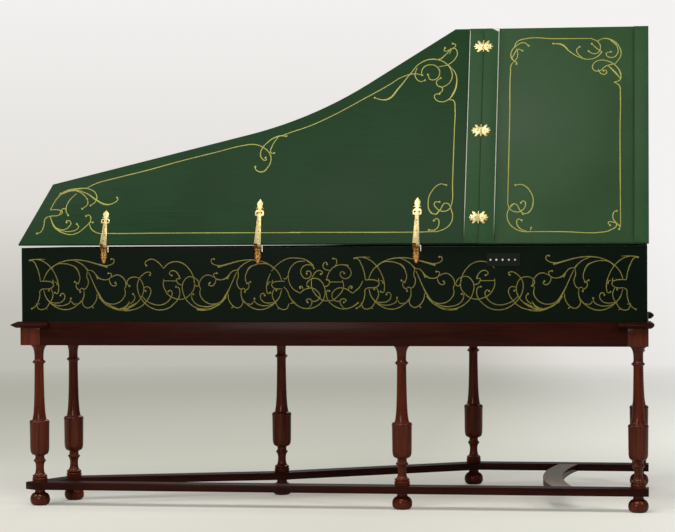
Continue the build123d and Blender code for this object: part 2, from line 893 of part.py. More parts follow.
def stretchers():
    """The low boards that tie the legs together just above their feet."""
    low, high = stretcher_bottom, leg_bottom
    width = stretcher_width
    axis = {name: place for name, (place, _) in legs.items()}
    near_y = axis["front"][1]
    y0, y1 = near_y - width / 2, near_y + width / 2
    nose = stretcher_nose
    spine = slab(
        flat([(nose, y0), (stand_end, y0), (stand_end, y1), (nose * 0.75, y1), (2, y0 + nose * 0.7)]), low, high
    )
    cheek_y = axis["cheek_front"][1]
    cheek = block(axis["cheek"][0] + 8, stand_end, cheek_y - width / 2, cheek_y + width / 2, low, high)
    tail = straight_board(axis["tail"], axis["tail_bend"], low, high, width)
    first = straight_board(
        along(axis["tail_bend"], bend_direction, -12), along(axis["bend"], bend_direction, 30), low, high, width
    )
    second = straight_board(axis["bend"], along(axis["cheek"], bend_direction, 25), low, high, width)
    tail = largest(without(tail, [spine]))
    first = largest(without(first, [tail, spine]))
    second = largest(without(second, [first, cheek]))
    return {
        "stretcher_spine": spine,
        "stretchers_far": group([tail, first, second, cheek]),
        "stretcher_crescent": crescent(y1, cheek_y - width / 2, low, high),
    }


def crescent(y0, y1, low, high):
    """The curved stretcher, hollow on the player's side."""
    middle = (y0 + y1) / 2
    half = crescent_width / 2
    left = ThreePointArc(
        (crescent_x - half, y0), (crescent_x - half - crescent_bulge, middle), (crescent_x - half, y1)
    )
    right = ThreePointArc(
        (crescent_x + half, y0), (crescent_x + half - crescent_bulge, middle), (crescent_x + half, y1)
    )
    ends = [Line(left @ 0, right @ 0), Line(left @ 1, right @ 1)]
    return slab(make_face([left, right, *ends]), low, high)


# The lid is drawn shut and turned open about its hinge at the spine
hinge_y = -hinge_axis_out
hinge_z = case_top + hinge_axis_up
lid_low = case_top + lid_seat_gap
lid_high = lid_low + lid_thickness
cleat_top = lid_high + cleat_height
lid_front = case_length + front_overhang
lid_edge = case_width + lid_overhang


def opened(shape):
    """The shape turned with the open lid."""
    return Pos(0, hinge_y, hinge_z) * Rot(lid_open_angle, 0, 0) * Pos(0, -hinge_y, -hinge_z) * shape


def lid_boards():
    """The main lid and the flap over the keyboards."""
    grown = offset(outline, lid_overhang, kind=Kind.INTERSECTION)
    window = Pos(-case_width, 0) * Rectangle(
        case_width + lid_front, 2 * case_width, align=(Align.MIN, Align.MIN)
    )
    board = grown & window
    half = joint_gap / 2
    return {
        "lid_main": opened(slab(strip(board, -case_width, flap_joint_x - half), lid_low, lid_high)),
        "lid_flap": opened(slab(strip(board, flap_joint_x + half, lid_front), lid_low, lid_high)),
    }


def cleat(x0, x1, round_side, joint_side):
    """A raised strip across the lid with a rounded edge and bevelled ends."""
    low, high = lid_high, cleat_top
    r = cleat_round
    chamfer = 3.0
    points = [(x0, low), (x1, low)]
    for x, inward in ((x1, -1), (x0, 1)):
        if x == joint_side:
            corner = [(x, high - chamfer), (x + inward * chamfer, high)]
        elif x == round_side:
            corner = [(x, high - r), (x + inward * r * 0.3, high - r * 0.3), (x + inward * r, high)]
        else:
            corner = [(x, high)]
        points += corner if inward < 0 else corner[::-1]
    bar = side_profile(points, 0, lid_edge)
    bevelled = [(lid_edge, low + 2), (lid_edge - cleat_bevel, high), (cleat_bevel, high), (0, low + 2)]
    ends = end_profile([(0, low), (lid_edge, low), *bevelled], x0, x1)
    return opened(bar & ends)


def cleats():
    """The strip on the main lid and the two on the flap."""
    half = joint_gap / 2
    left = flap_joint_x - half
    right = flap_joint_x + half
    front = lid_front
    joint = cleat(right, right + flap_cleat_width, right + flap_cleat_width, right)
    far = cleat(front - cleat_width, front, front - cleat_width, None)
    return {
        "lid_cleat": cleat(left - cleat_width, left, left - cleat_width, left),
        "flap_cleats": group([joint, far]),
    }


def mirrored_outline(half_widths):
    """A closed outline from (distance, half width) pairs, alike on both sides."""
    right = [(w, d) for d, w in half_widths]
    left = [(-w, d) for d, w in reversed(half_widths) if w]
    return flat(right + left)


def strap_hinges():
    """Three long hinges at the spine: a strap with a spear finial on the lid,
    a short leaf on the case and a loose bent pin."""
    lid_leaves, case_leaves, pins = [], [], []
    half = strap_width / 2
    bore_radius = hinge_pin_radius + pin_clearance
    for x, length in strap_places:
        strap = [
            (0, half), (0.3, 9), (0.52, 7), (0.56, 12), (0.61, 16), (0.66, 17), (0.7, 14), (0.72, 8),
            (0.77, 7), (0.8, 13), (0.82, 8), (0.88, 8.5), (0.93, 5), (1, 0),
        ]
        face = Pos(x, 0) * mirrored_outline([(d * length, w) for d, w in strap])
        leaf = slab(face, lid_high, lid_high + leaf_thickness)
        gap = 0.3
        web = block(x + gap, x + half, hinge_y, -gap, hinge_z, lid_high + leaf_thickness)
        web += block(x + gap, x + half, -gap, 1, lid_high, lid_high + leaf_thickness)
        knuckle = bar_along_x(x + gap, x + half, hinge_y, hinge_z, small_round(knuckle_radius))
        bore = bar_along_x(x - half, x + half, hinge_y, hinge_z, Circle(bore_radius))
        lid_leaves.append(opened(leaf + web + knuckle - bore))

        scroll = [(0, half), (0.3, 9), (0.42, 12), (0.58, 13), (0.7, 8), (0.84, 9), (1, 2)]
        flat_leaf = mirrored_outline([(-d * case_leaf_length, w) for d, w in scroll])
        plate = Pos(x, 0, case_top) * extrude(Plane.XZ * flat_leaf, leaf_thickness)
        neck = block(x - half, x - gap, -leaf_thickness, 0, case_top - 1, hinge_z)
        case_knuckle = bar_along_x(x - half, x - gap, hinge_y, hinge_z, small_round(knuckle_radius))
        case_leaves.append(plate + neck + case_knuckle - bore)

        tail_drop = 22.0
        pin = bar_along_x(x - half, x + half + 5, hinge_y, hinge_z, Circle(hinge_pin_radius))
        pin += block(
            x + half + 2, x + half + 5, hinge_y - 1.5, hinge_y + 1.5, hinge_z - tail_drop, hinge_z
        )
        pins.append(pin)
    return {
        "strap_hinge_lid_leaves": group(lid_leaves),
        "strap_hinge_case_leaves": group(case_leaves),
        "strap_hinge_pins": group(pins),
    }


def butterfly_hinges():
    """Three pierced spiky hinges across the joint of lid and flap."""
    lobes = [
        (0, 0.5), (0.22, 0.5), (0.42, 0.3), (0.55, 0.42), (0.8, 0.46), (0.72, 0.25), (0.86, 0.1), (1, 0),
        (0.86, -0.1), (0.72, -0.25), (0.8, -0.46), (0.55, -0.42), (0.42, -0.3), (0.22, -0.5), (0, -0.5),
    ]
    barrel_gap = butterfly_barrel_radius
    low = cleat_top
    high = cleat_top + butterfly_thickness
    lid_leaves, flap_leaves = [], []
    for y in butterfly_places:
        for sign, leaves in ((-1, lid_leaves), (1, flap_leaves)):
            start = barrel_gap + (0.3 if sign > 0 else -1.0)
            run = butterfly_reach - start
            points = [(flap_joint_x + sign * (start + a * run), y + b * butterfly_height) for a, b in lobes]
            leaf = slab(flat(points), low, high)
            if sign < 0:
                barrel = Pos(flap_joint_x, y - butterfly_height / 2, high) * extrude(
                    Plane.XZ * small_round(barrel_gap), -butterfly_height
                )
                leaf += barrel
            leaves.append(opened(leaf))
    return {
        "butterfly_lid_leaves": group(lid_leaves),
        "butterfly_flap_leaves": group(flap_leaves),
    }


def lid_prop():
    """A loose stick from the top of the cheek to the underside of the lid."""
    foot = (case_width - wall / 2, case_top)
    corner_z = lid_low - hinge_z
    c, s = cos(radians(lid_open_angle)), sin(radians(lid_open_angle))
    under = (hinge_y + hinge_axis_out * c - corner_z * s, hinge_z + hinge_axis_out * s + corner_z * c)
    under = (under[0] + rest_gap * s, under[1] - rest_gap * c)
    half = prop_thickness / 2
    lean = radians(prop_angle)
    normal = (sin(lean), -cos(lean))
    points = []
    for sign in (1, -1):
        start = along(foot, normal, sign * half)
        slope = degrees(lean)
        low = crossing(start, slope, (0, case_top), 0)
        high = crossing(start, slope, under, lid_open_angle)
        points += [low, high] if sign > 0 else [high, low]
    return end_profile(points, prop_x - prop_width / 2, prop_x + prop_width / 2)


def stand():
    """Legs, feet, rails, mouldings and stretchers."""
    leg = turned_leg()
    foot = turned_foot()
    whole_legs, feet = [], []
    for (place, _), square_top in zip(legs.values(), leg_blocks):
        whole_legs.append(Pos(*place, 0) * leg + square_top)
        feet.append(Pos(*place, 0) * foot)
    nodes = {
        "stand_legs": group(whole_legs),
        "stand_feet": group(feet),
        "stand_corner_mouldings": corner_mouldings(),
    }
    return nodes | stand_rails() | stretchers()


def harpsichord():
    """Every piece, by name."""
    nodes = {
        "lid_prop": lid_prop(),
    }
    makers = [
        case_walls, case_inside, bridges_and_nuts, stringing, plank_and_blocks, keyboards, action,
        adjuster, stand, lid_boards, cleats, strap_hinges, butterfly_hinges,
    ]
    for make in makers:
        nodes |= make()
    return nodes


os.makedirs("parts", exist_ok=True)
origin_x, origin_y = legs["front"][0]
for name, shape in harpsichord().items():
    export_step(Pos(-origin_x, -origin_y, 0) * shape, f"parts/{name}.step")
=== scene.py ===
import json
from math import cos, pi, radians, sin

import bmesh
import bpy
from mathutils import Matrix, Vector

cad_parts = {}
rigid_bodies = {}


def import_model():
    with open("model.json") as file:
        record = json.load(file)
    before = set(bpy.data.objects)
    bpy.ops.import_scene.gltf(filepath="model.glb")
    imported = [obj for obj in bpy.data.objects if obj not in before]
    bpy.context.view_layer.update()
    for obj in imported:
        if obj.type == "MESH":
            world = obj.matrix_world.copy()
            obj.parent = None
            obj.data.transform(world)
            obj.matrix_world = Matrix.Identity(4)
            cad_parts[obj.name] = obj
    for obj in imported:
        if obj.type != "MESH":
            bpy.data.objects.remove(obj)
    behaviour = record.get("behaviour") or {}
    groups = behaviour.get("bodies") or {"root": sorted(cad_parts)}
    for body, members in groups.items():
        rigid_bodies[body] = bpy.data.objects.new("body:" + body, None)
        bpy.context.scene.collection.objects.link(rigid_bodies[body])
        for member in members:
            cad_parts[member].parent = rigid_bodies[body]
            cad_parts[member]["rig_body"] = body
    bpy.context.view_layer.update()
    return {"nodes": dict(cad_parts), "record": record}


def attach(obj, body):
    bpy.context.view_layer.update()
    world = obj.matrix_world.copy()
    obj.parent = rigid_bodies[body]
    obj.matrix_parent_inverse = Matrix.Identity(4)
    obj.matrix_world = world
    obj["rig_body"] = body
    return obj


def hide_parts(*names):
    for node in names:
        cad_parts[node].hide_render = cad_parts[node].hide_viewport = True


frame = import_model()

# A double manual harpsichord on a turned stand, with its lid held open.
# Lengths are metres. The keyboard end of the spine is on the right, and the spine faces the camera.
nodes = frame["nodes"]
mm = 0.001

# Case and lid
spine_face = -33.5 * mm
case_rim = 959 * mm
hinge_y = -38.3 * mm
hinge_z = 964 * mm
lid_angle = radians(65.4)
lid_face = 971.3 * mm
cleat_face = 983.3 * mm
flap_joint = -571 * mm

# Stand
leg_top = 598 * mm
feet = [m["pos_m"] for m in frame["record"]["mounts"] if m["name"].startswith("foot")]

# Camera
lens = 121.46
sensor = 36.0
frame_width = 675
frame_height = 532
camera_place = Vector((28.98, -8244.73, 1081.86)) * mm
camera_yaw = radians(-7.718)
camera_pitch = radians(-1.329)
camera_roll = radians(-0.301)


class Value:
    """A socket in a finish's nodes, with arithmetic written as Python."""

    def __init__(self, finish, socket):
        self.finish = finish
        self.socket = socket

    def maths(self, operation, first, second):
        return self.finish.add("ShaderNodeMath", {"operation": operation}, {0: first, 1: second})

    def __add__(self, other):
        return self.maths("ADD", self, other)

    def __radd__(self, other):
        return self.maths("ADD", other, self)

    def __sub__(self, other):
        return self.maths("SUBTRACT", self, other)

    def __rsub__(self, other):
        return self.maths("SUBTRACT", other, self)

    def __mul__(self, other):
        return self.maths("MULTIPLY", self, other)

    def __rmul__(self, other):
        return self.maths("MULTIPLY", other, self)


class Finish:
    """A material with one Principled shader and the nodes that feed it."""

    def __init__(self, name, **constants):
        self.material = bpy.data.materials.new(name)
        self.material.use_nodes = True
        self.tree = self.material.node_tree
        self.tree.nodes.clear()
        self.shader = self.tree.nodes.new("ShaderNodeBsdfPrincipled")
        output = self.tree.nodes.new("ShaderNodeOutputMaterial")
        self.tree.links.new(self.shader.outputs[0], output.inputs[0])
        for key, value in constants.items():
            self.shader.inputs[key.replace("_", " ")].default_value = value
        self.place = self.add("ShaderNodeTexCoord", output="Object")

    def add(self, kind, settings=None, sockets=None, output=0):
        """A node of this kind, its settings made first, then its sockets."""
        node = self.tree.nodes.new(kind)
        for key, value in (settings or {}).items():
            if key == "stops":
                ramp = node.color_ramp.elements
                while len(ramp) < len(value):
                    ramp.new(0.5)
                for element, (position, colour) in zip(ramp, value):
                    element.position = position
                    element.color = (*colour, 1)
            else:
                setattr(node, key, value)
        for key, value in (sockets or {}).items():
            if isinstance(value, Value):
                self.tree.links.new(value.socket, node.inputs[key])
            else:
                node.inputs[key].default_value = value
        return Value(self, node.outputs[output])

    def feed(self, name, value):
        self.tree.links.new(value.socket, self.shader.inputs[name])

    def axis(self, letter, source="Object"):
        """One coordinate of the place, or of the way that the surface faces."""
        whole = self.add("ShaderNodeTexCoord", output=source)
        return self.add("ShaderNodeSeparateXYZ", {}, {0: whole}, "xyz".index(letter))

    def stretched(self, scale, turn=(0, 0, 0)):
        return self.add("ShaderNodeMapping", {}, {"Vector": self.place, "Scale": scale, "Rotation": turn})

    def noise(self, place, scale, detail=4.0, rough=0.55, bend=0.0):
        return self.add(
            "ShaderNodeTexNoise", {},
            {"Vector": place, "Scale": scale, "Detail": detail, "Roughness": rough, "Distortion": bend},
        )

    def ramp(self, value, *stops):
        return self.add("ShaderNodeValToRGB", {"stops": stops}, {0: value})

    def span(self, value, low, high, to_low=0.0, to_high=1.0):
        return self.add(
            "ShaderNodeMapRange", {"clamp": True},
            {"Value": value, "From Min": low, "From Max": high, "To Min": to_low, "To Max": to_high},
        )

    def blend(self, share, first, second):
        def colour(v):
            return v if isinstance(v, Value) else (*v, 1)
        return self.add(
            "ShaderNodeMix", {"data_type": "RGBA"},
            {0: share, 6: colour(first), 7: colour(second)}, output=2,
        )

    def relief(self, height, depth, strength=1.0, rounding=0.0):
        """Bump of this depth in metres, on edges rounded in the shading alone."""
        bump = {"Height": height, "Distance": depth, "Strength": strength}
        if rounding:
            bump["Normal"] = self.add("ShaderNodeBevel", {"samples": 4}, {"Radius": rounding})
        self.feed("Normal", self.add("ShaderNodeBump", {}, bump))


def plain(red, green, blue):
    """A colour as it is seen, turned into the renderer's linear numbers."""
    return tuple(
        (c / 255 / 12.92) if c < 10 else ((c / 255 + 0.055) / 1.055) ** 2.4 for c in (red, green, blue)
    )


# The pale highlight painted along the joint cleats' outer edges
glare_start = 12 * mm
glare_full = 14 * mm
glare_end = -350 * mm
glare_fade = 10 * mm
glare_low = 990 * mm
glare_high = 1120 * mm


def outer_edges(finish):
    """The rounded edges of the two joint cleats that look away from the joint, where a pale highlight is
    painted, fading at their lower ends.
    """
    turned = finish.axis("x", "Normal")
    along = finish.axis("x")
    left = finish.span(turned, -0.3, -0.4) * finish.span(turned, -0.97, -0.93)
    right = finish.span(turned, 0.3, 0.4) * finish.span(turned, 0.97, 0.93)
    left = left * finish.span(along, flap_joint - glare_start, flap_joint - glare_full)
    right = right * finish.span(along, flap_joint + glare_start, flap_joint + glare_full)
    near_joint = finish.span(along, glare_end, glare_end - glare_fade)
    return (left + right) * near_joint * finish.span(finish.axis("z"), glare_low, glare_high)


def painted(name, colour, brushed, roughness=0.42, lift=1.18, level=0.14, rim=None):
    """Brushed oil paint under thin varnish. brushed is the axis that the brush followed, and rim the colour
    of a highlight painted along a cleat's edge."""
    finish = Finish(name, Specular_IOR_Level=level)
    streak_scale = [90, 90, 90]
    streak_scale["xyz".index(brushed)] = 2.2
    streaks = finish.noise(finish.stretched(streak_scale), 3.0, 5.0)
    clouds = finish.noise(finish.place, 3.5, 3.0)
    specks = finish.noise(finish.place, 260.0, 2.0)
    tone = finish.span(streaks * 0.5 + clouds * 0.5, 0.36, 0.64)
    dark = tuple(c * 0.84 for c in colour)
    light = tuple(c * lift for c in colour)
    base = finish.blend(tone, dark, light)
    tone = finish.blend(finish.span(specks, 0.66, 0.8, 0.0, 0.35), base, light)
    # The rim colour is a painted highlight, standing in for the lamps' glare on the cleats' rounded edges.
    if rim:
        tone = finish.blend(outer_edges(finish), tone, rim)
    finish.feed("Base Color", tone)
    dull = clouds * 0.6 + streaks * 0.4
    finish.feed("Roughness", finish.span(dull, 0.35, 0.65, roughness - 0.06, roughness + 0.1))
    finish.relief(streaks + specks * 0.3, 0.00022, 0.6, 0.0008)
    return finish.material


def timber(name, dark, light, along, roughness=0.3, coat=0.6, size=1.0, figure=0.55, pores=0.35, wear_and_sheen=None):
    """Planed wood with its grain along one axis. A pale colour, if given, is painted on level tops as the
    sheen of the light falling on them.
    """
    finish = Finish(name, Coat_Roughness=0.13, Specular_IOR_Level=0.1)
    finish.shader.inputs["Coat Weight"].default_value = coat
    axis = "xyz".index(along)
    broad = [22 / size] * 3
    broad[axis] = 1.6 / size
    fine = [420 / size] * 3
    fine[axis] = 9 / size
    figure_place = finish.stretched(broad)
    rings = finish.noise(figure_place, 1.6, 4.0, 0.6, 1.4)
    fibre = finish.noise(finish.stretched(fine), 1.0, 3.0)
    patch = finish.noise(finish.place, 2.4 / size, 2.0)
    tone = finish.span(rings * figure + fibre * 0.3 + patch * 0.25, 0.36, 0.74)
    middle = tuple((a + b) / 2 for a, b in zip(dark, light))
    base = finish.ramp(tone, (0.0, dark), (0.45, middle), (1.0, light))
    # Painted sheen: level tops turn pale, as if the light from above falls on them.
    if wear_and_sheen:
        base = finish.blend(finish.span(finish.axis("z", "Normal"), 0.7, 0.95, 0.0, 0.8), base, wear_and_sheen)
    pore = finish.span(fibre, 0.6, 0.72, 0.0, pores)
    finish.feed("Base Color", finish.blend(pore, base, tuple(c * 0.45 for c in dark)))
    dull = patch * 0.6 + fibre * 0.4
    finish.feed("Roughness", finish.span(dull, 0.3, 0.7, roughness - 0.06, roughness + 0.1))
    finish.relief(fibre - pore * 0.8, 0.00016 * size, 0.5, 0.001)
    return finish.material


def metal(name, colour, wear_and_sheen, roughness=0.2, marks=1.0):
    """Handled metal: soft tarnish and fine scratches."""
    finish = Finish(name)
    finish.shader.inputs["Metallic"].default_value = 1.0
    tarnish = finish.noise(finish.place, 42.0 * marks, 5.0, 0.65)
    scratch = finish.noise(finish.stretched((300, 300, 26), (0.4, 0.3, 0.7)), 2.0 * marks, 2.0)
    share = finish.span(tarnish, 0.45, 0.72, 0.0, 0.75)
    finish.feed("Base Color", finish.blend(share, colour, wear_and_sheen))
    dull = tarnish * 0.6 + scratch * 0.4
    finish.feed("Roughness", finish.span(dull, 0.35, 0.65, roughness, roughness + 0.22))
    finish.relief(scratch + tarnish, 0.00012, 0.5, 0.0004)
    return finish.material


def gold_paint(name, colour, shade):
    """Gold size and powder laid with a brush, uneven and slightly rubbed."""
    finish = Finish(name, Specular_IOR_Level=0.5)
    finish.shader.inputs["Metallic"].default_value = 0.25
    load = finish.noise(finish.place, 120.0, 4.0, 0.6)
    rub = finish.noise(finish.place, 9.0, 3.0)
    finish.feed("Base Color", finish.blend(finish.span(load * 0.6 + rub * 0.4, 0.4, 0.62), shade, colour))
    finish.feed("Roughness", finish.span(load, 0.3, 0.7, 0.36, 0.55))
    finish.relief(load, 0.0002, 0.6)
    return finish.material


def polished(name, colour, vein, axis, roughness=0.22):
    """Bone or ebony, with faint lines along the key."""
    finish = Finish(name, Coat_Roughness=0.1)
    finish.shader.inputs["Coat Weight"].default_value = 0.3
    scale = [340, 340, 340]
    scale["xyz".index(axis)] = 11
    lines = finish.noise(finish.stretched(scale), 1.0, 3.0)
    cloud = finish.noise(finish.place, 30.0, 3.0)
    finish.feed("Base Color", finish.blend(finish.span(lines * 0.7 + cloud * 0.3, 0.42, 0.7), colour, vein))
    finish.feed("Roughness", finish.span(cloud, 0.3, 0.7, roughness, roughness + 0.16))
    finish.relief(lines, 0.00008, 0.5, 0.0006)
    return finish.material


# Finishes, after the colours that some of them share
rail_shade = plain(22, 5, 2)
rail_light = plain(60, 18, 7)
# A near-white painted highlight for the cleats' outer edges
cleat_painted_highlight = plain(250, 252, 236)
lid_green = painted("lid_green_paint", plain(33, 61, 35), "x", 0.42, 1.18, 0.08)
flap_green = painted("flap_green_paint", plain(50, 79, 48), "y")
lid_strip_green = painted("lid_strip_green_paint", plain(50, 82, 50), "y", 0.4, 1.18, 0.08, cleat_painted_highlight)
# The case's green is the lid's paint darkened as painted shade, for the case's upright faces.
shaded_case_green = painted("case_green_paint", plain(8, 21, 11), "x", 0.4, 1.18, 0.08)
gilding = gold_paint("gold_line", plain(176, 174, 82), plain(146, 140, 58))
case_gilding = gold_paint("dull_gold_line", plain(148, 142, 62), plain(116, 106, 42))
mahogany_x = timber("mahogany_rails", rail_shade, rail_light, "x", 0.34, 0.03)
mahogany_y = timber("mahogany_cross_rails", rail_shade, rail_light, "y", 0.34, 0.03)
# The crescent stretcher's pale top is a painted sheen of light.
mahogany_painted_sheen = timber("mahogany_sheen_top", rail_shade, rail_light, "y", 0.3, 0.2, wear_and_sheen=plain(158, 142, 126))
mahogany_z = timber("mahogany_legs", plain(22, 6, 2), plain(116, 44, 15), "z", 0.24, 0.3)
spruce = timber(
    "spruce_soundboard", plain(196, 160, 106), plain(226, 196, 146), "x", 0.42, 0.3, 0.6, 0.7, 0.12
)
pine = timber("pine_inside", plain(168, 130, 84), plain(206, 170, 120), "x", 0.6, 0.0, 1.0, 0.6, 0.15)
oak = timber("oak_wrest_plank", plain(150, 112, 66), plain(190, 150, 98), "y", 0.45, 0.25, 0.8, 0.5, 0.3)
walnut = timber("walnut_bridges", plain(70, 42, 24), plain(116, 76, 46), "y", 0.35, 0.4, 0.5)
pear = timber("pear_jacks", plain(132, 88, 58), plain(168, 120, 84), "z", 0.5, 0.0, 0.3, 0.4, 0.1)
lime = timber("lime_key_levers", plain(196, 168, 124), plain(222, 198, 158), "x", 0.5, 0.0, 0.5, 0.4, 0.1)
brass = metal("hinge_brass", plain(206, 190, 138), plain(168, 142, 82), 0.3)
# Near-white brass: the lamps' glint on the hinge pins and adjuster screws, painted into their colour.
glinting_brass = metal("glinting_brass", plain(252, 246, 222), plain(226, 210, 160), 0.3)
# Dark brass: painted shade for the hinges' case leaves, and also the colour of the strap screws.
old_brass = metal("old_brass", plain(132, 82, 40), plain(66, 36, 16), 0.34)
chased_brass = metal("chased_brass", plain(244, 200, 112), plain(190, 140, 66), 0.3)
wire_brass = metal("brass_wire", plain(226, 190, 104), plain(176, 132, 62), 0.25, 3.0)
steel = metal("iron_pins", plain(150, 150, 150), plain(92, 88, 84), 0.3, 3.0)
dark_plate = painted("dark_plate_paint", plain(19, 28, 21), "x", 0.3)
bone = polished("bone_keys", plain(236, 226, 198), plain(214, 196, 156), "x")
ebony = polished("ebony_keys", plain(26, 22, 20), plain(48, 40, 34), "x")


def dress(finish, *names):
    """Gives CAD nodes that keep their shape a finish."""
    for name in names:
        piece = nodes[name]
        if piece.material_slots:
            for material_slot in piece.material_slots:
                material_slot.material = finish
        else:
            piece.data.materials.append(finish)


def finished(mesh_data, name, finish, body, replaced=(), angle=32):
    """Links a finished mesh as a piece that rides on a body."""
    mesh_data.shade_smooth()
    mesh_data.set_sharp_from_angle(angle=radians(angle))
    mesh_data.materials.clear()
    mesh_data.materials.append(finish)
    piece = bpy.data.objects.new(name, mesh_data)
    bpy.context.scene.collection.objects.link(piece)
    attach(piece, body)
    if replaced:
        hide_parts(*replaced)
    return piece


def from_bmesh(shape, name):
    """A mesh of this shape with its faces turned outwards."""
    bmesh.ops.recalc_face_normals(shape, faces=shape.faces)
    data = bpy.data.meshes.new(name)
    shape.to_mesh(data)
    shape.free()
    return data


def merged_copy(node):
    """A node's solids as clean faces: doubles merged and flat facets joined."""
    shape = bmesh.new()
    shape.from_mesh(nodes[node].data)
    bmesh.ops.remove_doubles(shape, verts=shape.verts, dist=0.00002)
    bmesh.ops.dissolve_limit(
        shape, angle_limit=radians(0.6), verts=shape.verts, edges=shape.edges, use_dissolve_boundaries=False
    )
    return shape


def ease_edges(shape, width, segments=2, least=32):
    """Rounds the sharp edges, as a scraper and paper leave them."""
    sharp = [
        e for e in shape.edges
        if len(e.link_faces) == 2 and e.calc_face_angle(0) > radians(least) and e.calc_length() > width * 2.5
    ]
    bmesh.ops.bevel(
        shape, geom=sharp, offset=width, offset_type="OFFSET", segments=segments, profile=0.5, affect="EDGES",
        clamp_overlap=True, material=-1,
    )


def eased(node, finish, width, segments=2, angle=32):
    """A node again with its edges rounded, standing for the node."""
    shape = merged_copy(node)
    ease_edges(shape, width, segments)
    name = node + "_eased"
    body = nodes[node]["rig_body"]
    return finished(from_bmesh(shape, name), name, finish, body, [node], angle)


def round_bead(low, high, neck, bulge, steps=6):
    """Profile points of a half round bead between two heights."""
    middle, half = (low + high) / 2, (high - low) / 2
    points = []
    for k in range(steps + 1):
        turn = pi * k / steps
        points.append((neck + (bulge - neck) * sin(turn), middle - half * cos(turn)))
    return points


def sweep(points, steps=5):
    """A smooth line through profile points."""
    line = []
    for k in range(len(points) - 1):
        before = Vector(points[max(k - 1, 0)])
        start, end = Vector(points[k]), Vector(points[k + 1])
        after = Vector(points[min(k + 2, len(points) - 1)])
        for j in range(steps):
            t = j / steps
            line.append(tuple(
                0.5 * (2 * start + (end - before) * t + (2 * before - 5 * start + 4 * end - after) * t * t
                       + (3 * start - before - 3 * end + after) * t ** 3)
            ))
    return line + [tuple(points[-1])]


# How far each kind of edge is rounded
square_ease = 1.6 * mm
rail_ease = 1.4 * mm
board_ease = 1.0 * mm
cleat_ease = 4.5 * mm
block_ease = 0.8 * mm
natural_ease = 0.5 * mm
sharp_ease = 0.9 * mm

# Radius and height in millimetres, from the stretcher to the square top
leg_profile = (
    [(0, 87), (27.5, 87), (28.6, 88.5), (28.6, 91.5), (27, 93)]
    + round_bead(93.5, 103, 25.5, 28.8)
    + round_bead(104, 112.5, 24.5, 27.6)
    + [(22.5, 113.4)]
    + sweep([(21.5, 114), (17, 122), (15.2, 138), (16, 152), (19.5, 161)])
    + round_bead(162, 170, 20, 23)
    + sweep([(19, 171), (17.2, 176), (17.4, 184)])
    + sweep([(20, 186), (29.5, 191), (34.2, 201), (35.6, 216)])
    + [(36.6, 305)]
    + sweep([(37.2, 306.5), (37, 312), (33.5, 316.5), (28, 318.5)])
    + sweep([(26.2, 320), (22.6, 342), (20, 378), (18.3, 430), (17.2, 500), (17.2, 526)])
    + [(19.5, 527.5), (19.5, 529.5)]
    + round_bead(530, 538.5, 20, 24.5)
    + [(19.5, 539), (19.5, 541)]
    + sweep([(16.8, 542.5), (17, 560), (19, 577), (24, 590), (28.5, 594)])
    + [(28.8, 598), (0, 598)]
)
foot_profile = (
    [(0, 0), (24.5, 0)]
    + sweep([(26, 0.6), (32.5, 6), (36.3, 15), (36.8, 24), (34.4, 34), (28.5, 42.5), (22.5, 46)])
    + [(20.5, 47)]
    + sweep([(20, 48.5), (18.8, 53), (20.5, 60)])
    + [(0, 60)]
)


def spun(shape, profile, place, steps=36):
    """Turns a profile about an upright axis at this place."""
    verts = [shape.verts.new(Vector((place[0] + r * mm, place[1], z * mm))) for r, z in profile]
    edges = [shape.edges.new(pair) for pair in zip(verts, verts[1:])]
    bmesh.ops.spin(
        shape, geom=verts + edges, cent=(place[0], place[1], 0), axis=(0, 0, 1), angle=2 * pi, steps=steps,
        use_merge=True,
    )
    bmesh.ops.remove_doubles(shape, verts=shape.verts, dist=0.000004)


def square_tops(shape):
    """The legs' square tops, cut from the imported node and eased."""
    tops = merged_copy("stand_legs")
    geometry = list(tops.verts) + list(tops.edges) + list(tops.faces)
    bmesh.ops.bisect_plane(
        tops, geom=geometry, plane_co=(0, 0, leg_top + mm), plane_no=(0, 0, 1), clear_inner=True
    )
    bmesh.ops.holes_fill(tops, edges=[e for e in tops.edges if e.is_boundary], sides=0)
    for vert in tops.verts:
        if vert.co.z < leg_top + 2 * mm:
            vert.co.z = leg_top
    ease_edges(tops, square_ease)
    data = bpy.data.meshes.new("tops")
    tops.to_mesh(data)
    tops.free()
    shape.from_mesh(data)


def turned_stand():
    """Seven turned legs with square tops, and seven flattened ball feet."""
    legs, balls = bmesh.new(), bmesh.new()
    for place in feet:
        spun(legs, leg_profile, place)
        spun(balls, foot_profile, place)
    square_tops(legs)
    for shape, name, node, angle in (
        (legs, "turned_legs", "stand_legs", 28), (balls, "ball_feet", "stand_feet", 40),
    ):
        finished(from_bmesh(shape, name), name, mahogany_z, "case", [node], angle)


turned_stand()
for name in ("stand_rail_spine", "stand_corner_mouldings", "stretcher_spine"):
    eased(name, mahogany_x, rail_ease)
eased("stretcher_crescent", mahogany_painted_sheen, rail_ease)
for name in ("stand_rail_cheek", "stand_rails_tail_bentside", "stretchers_far"):
    eased(name, mahogany_x, rail_ease)
eased("stand_rail_front", mahogany_y, rail_ease)
for name in ("case_spine", "case_tail", "case_bentside", "case_cheek", "nameboard", "jack_rail"):
    eased(name, shaded_case_green, board_ease)
eased("lid_main", lid_green, board_ease)
eased("lid_flap", flap_green, board_ease)
for name in ("lid_cleat", "flap_cleats"):
    eased(name, lid_strip_green, cleat_ease, 5, 50)
for name in ("key_blocks", "case_front_rail"):
    eased(name, shaded_case_green, block_ease)
for name in ("lower_naturals", "upper_naturals"):
    eased(name, bone, natural_ease)
for name in ("lower_sharps", "upper_sharps"):
    eased(name, ebony, sharp_ease)
dress(pine, "case_bottom", "case_braces", "soundboard_liner", "belly_rail")
dress(lime, "lower_key_frame", "upper_key_frame")
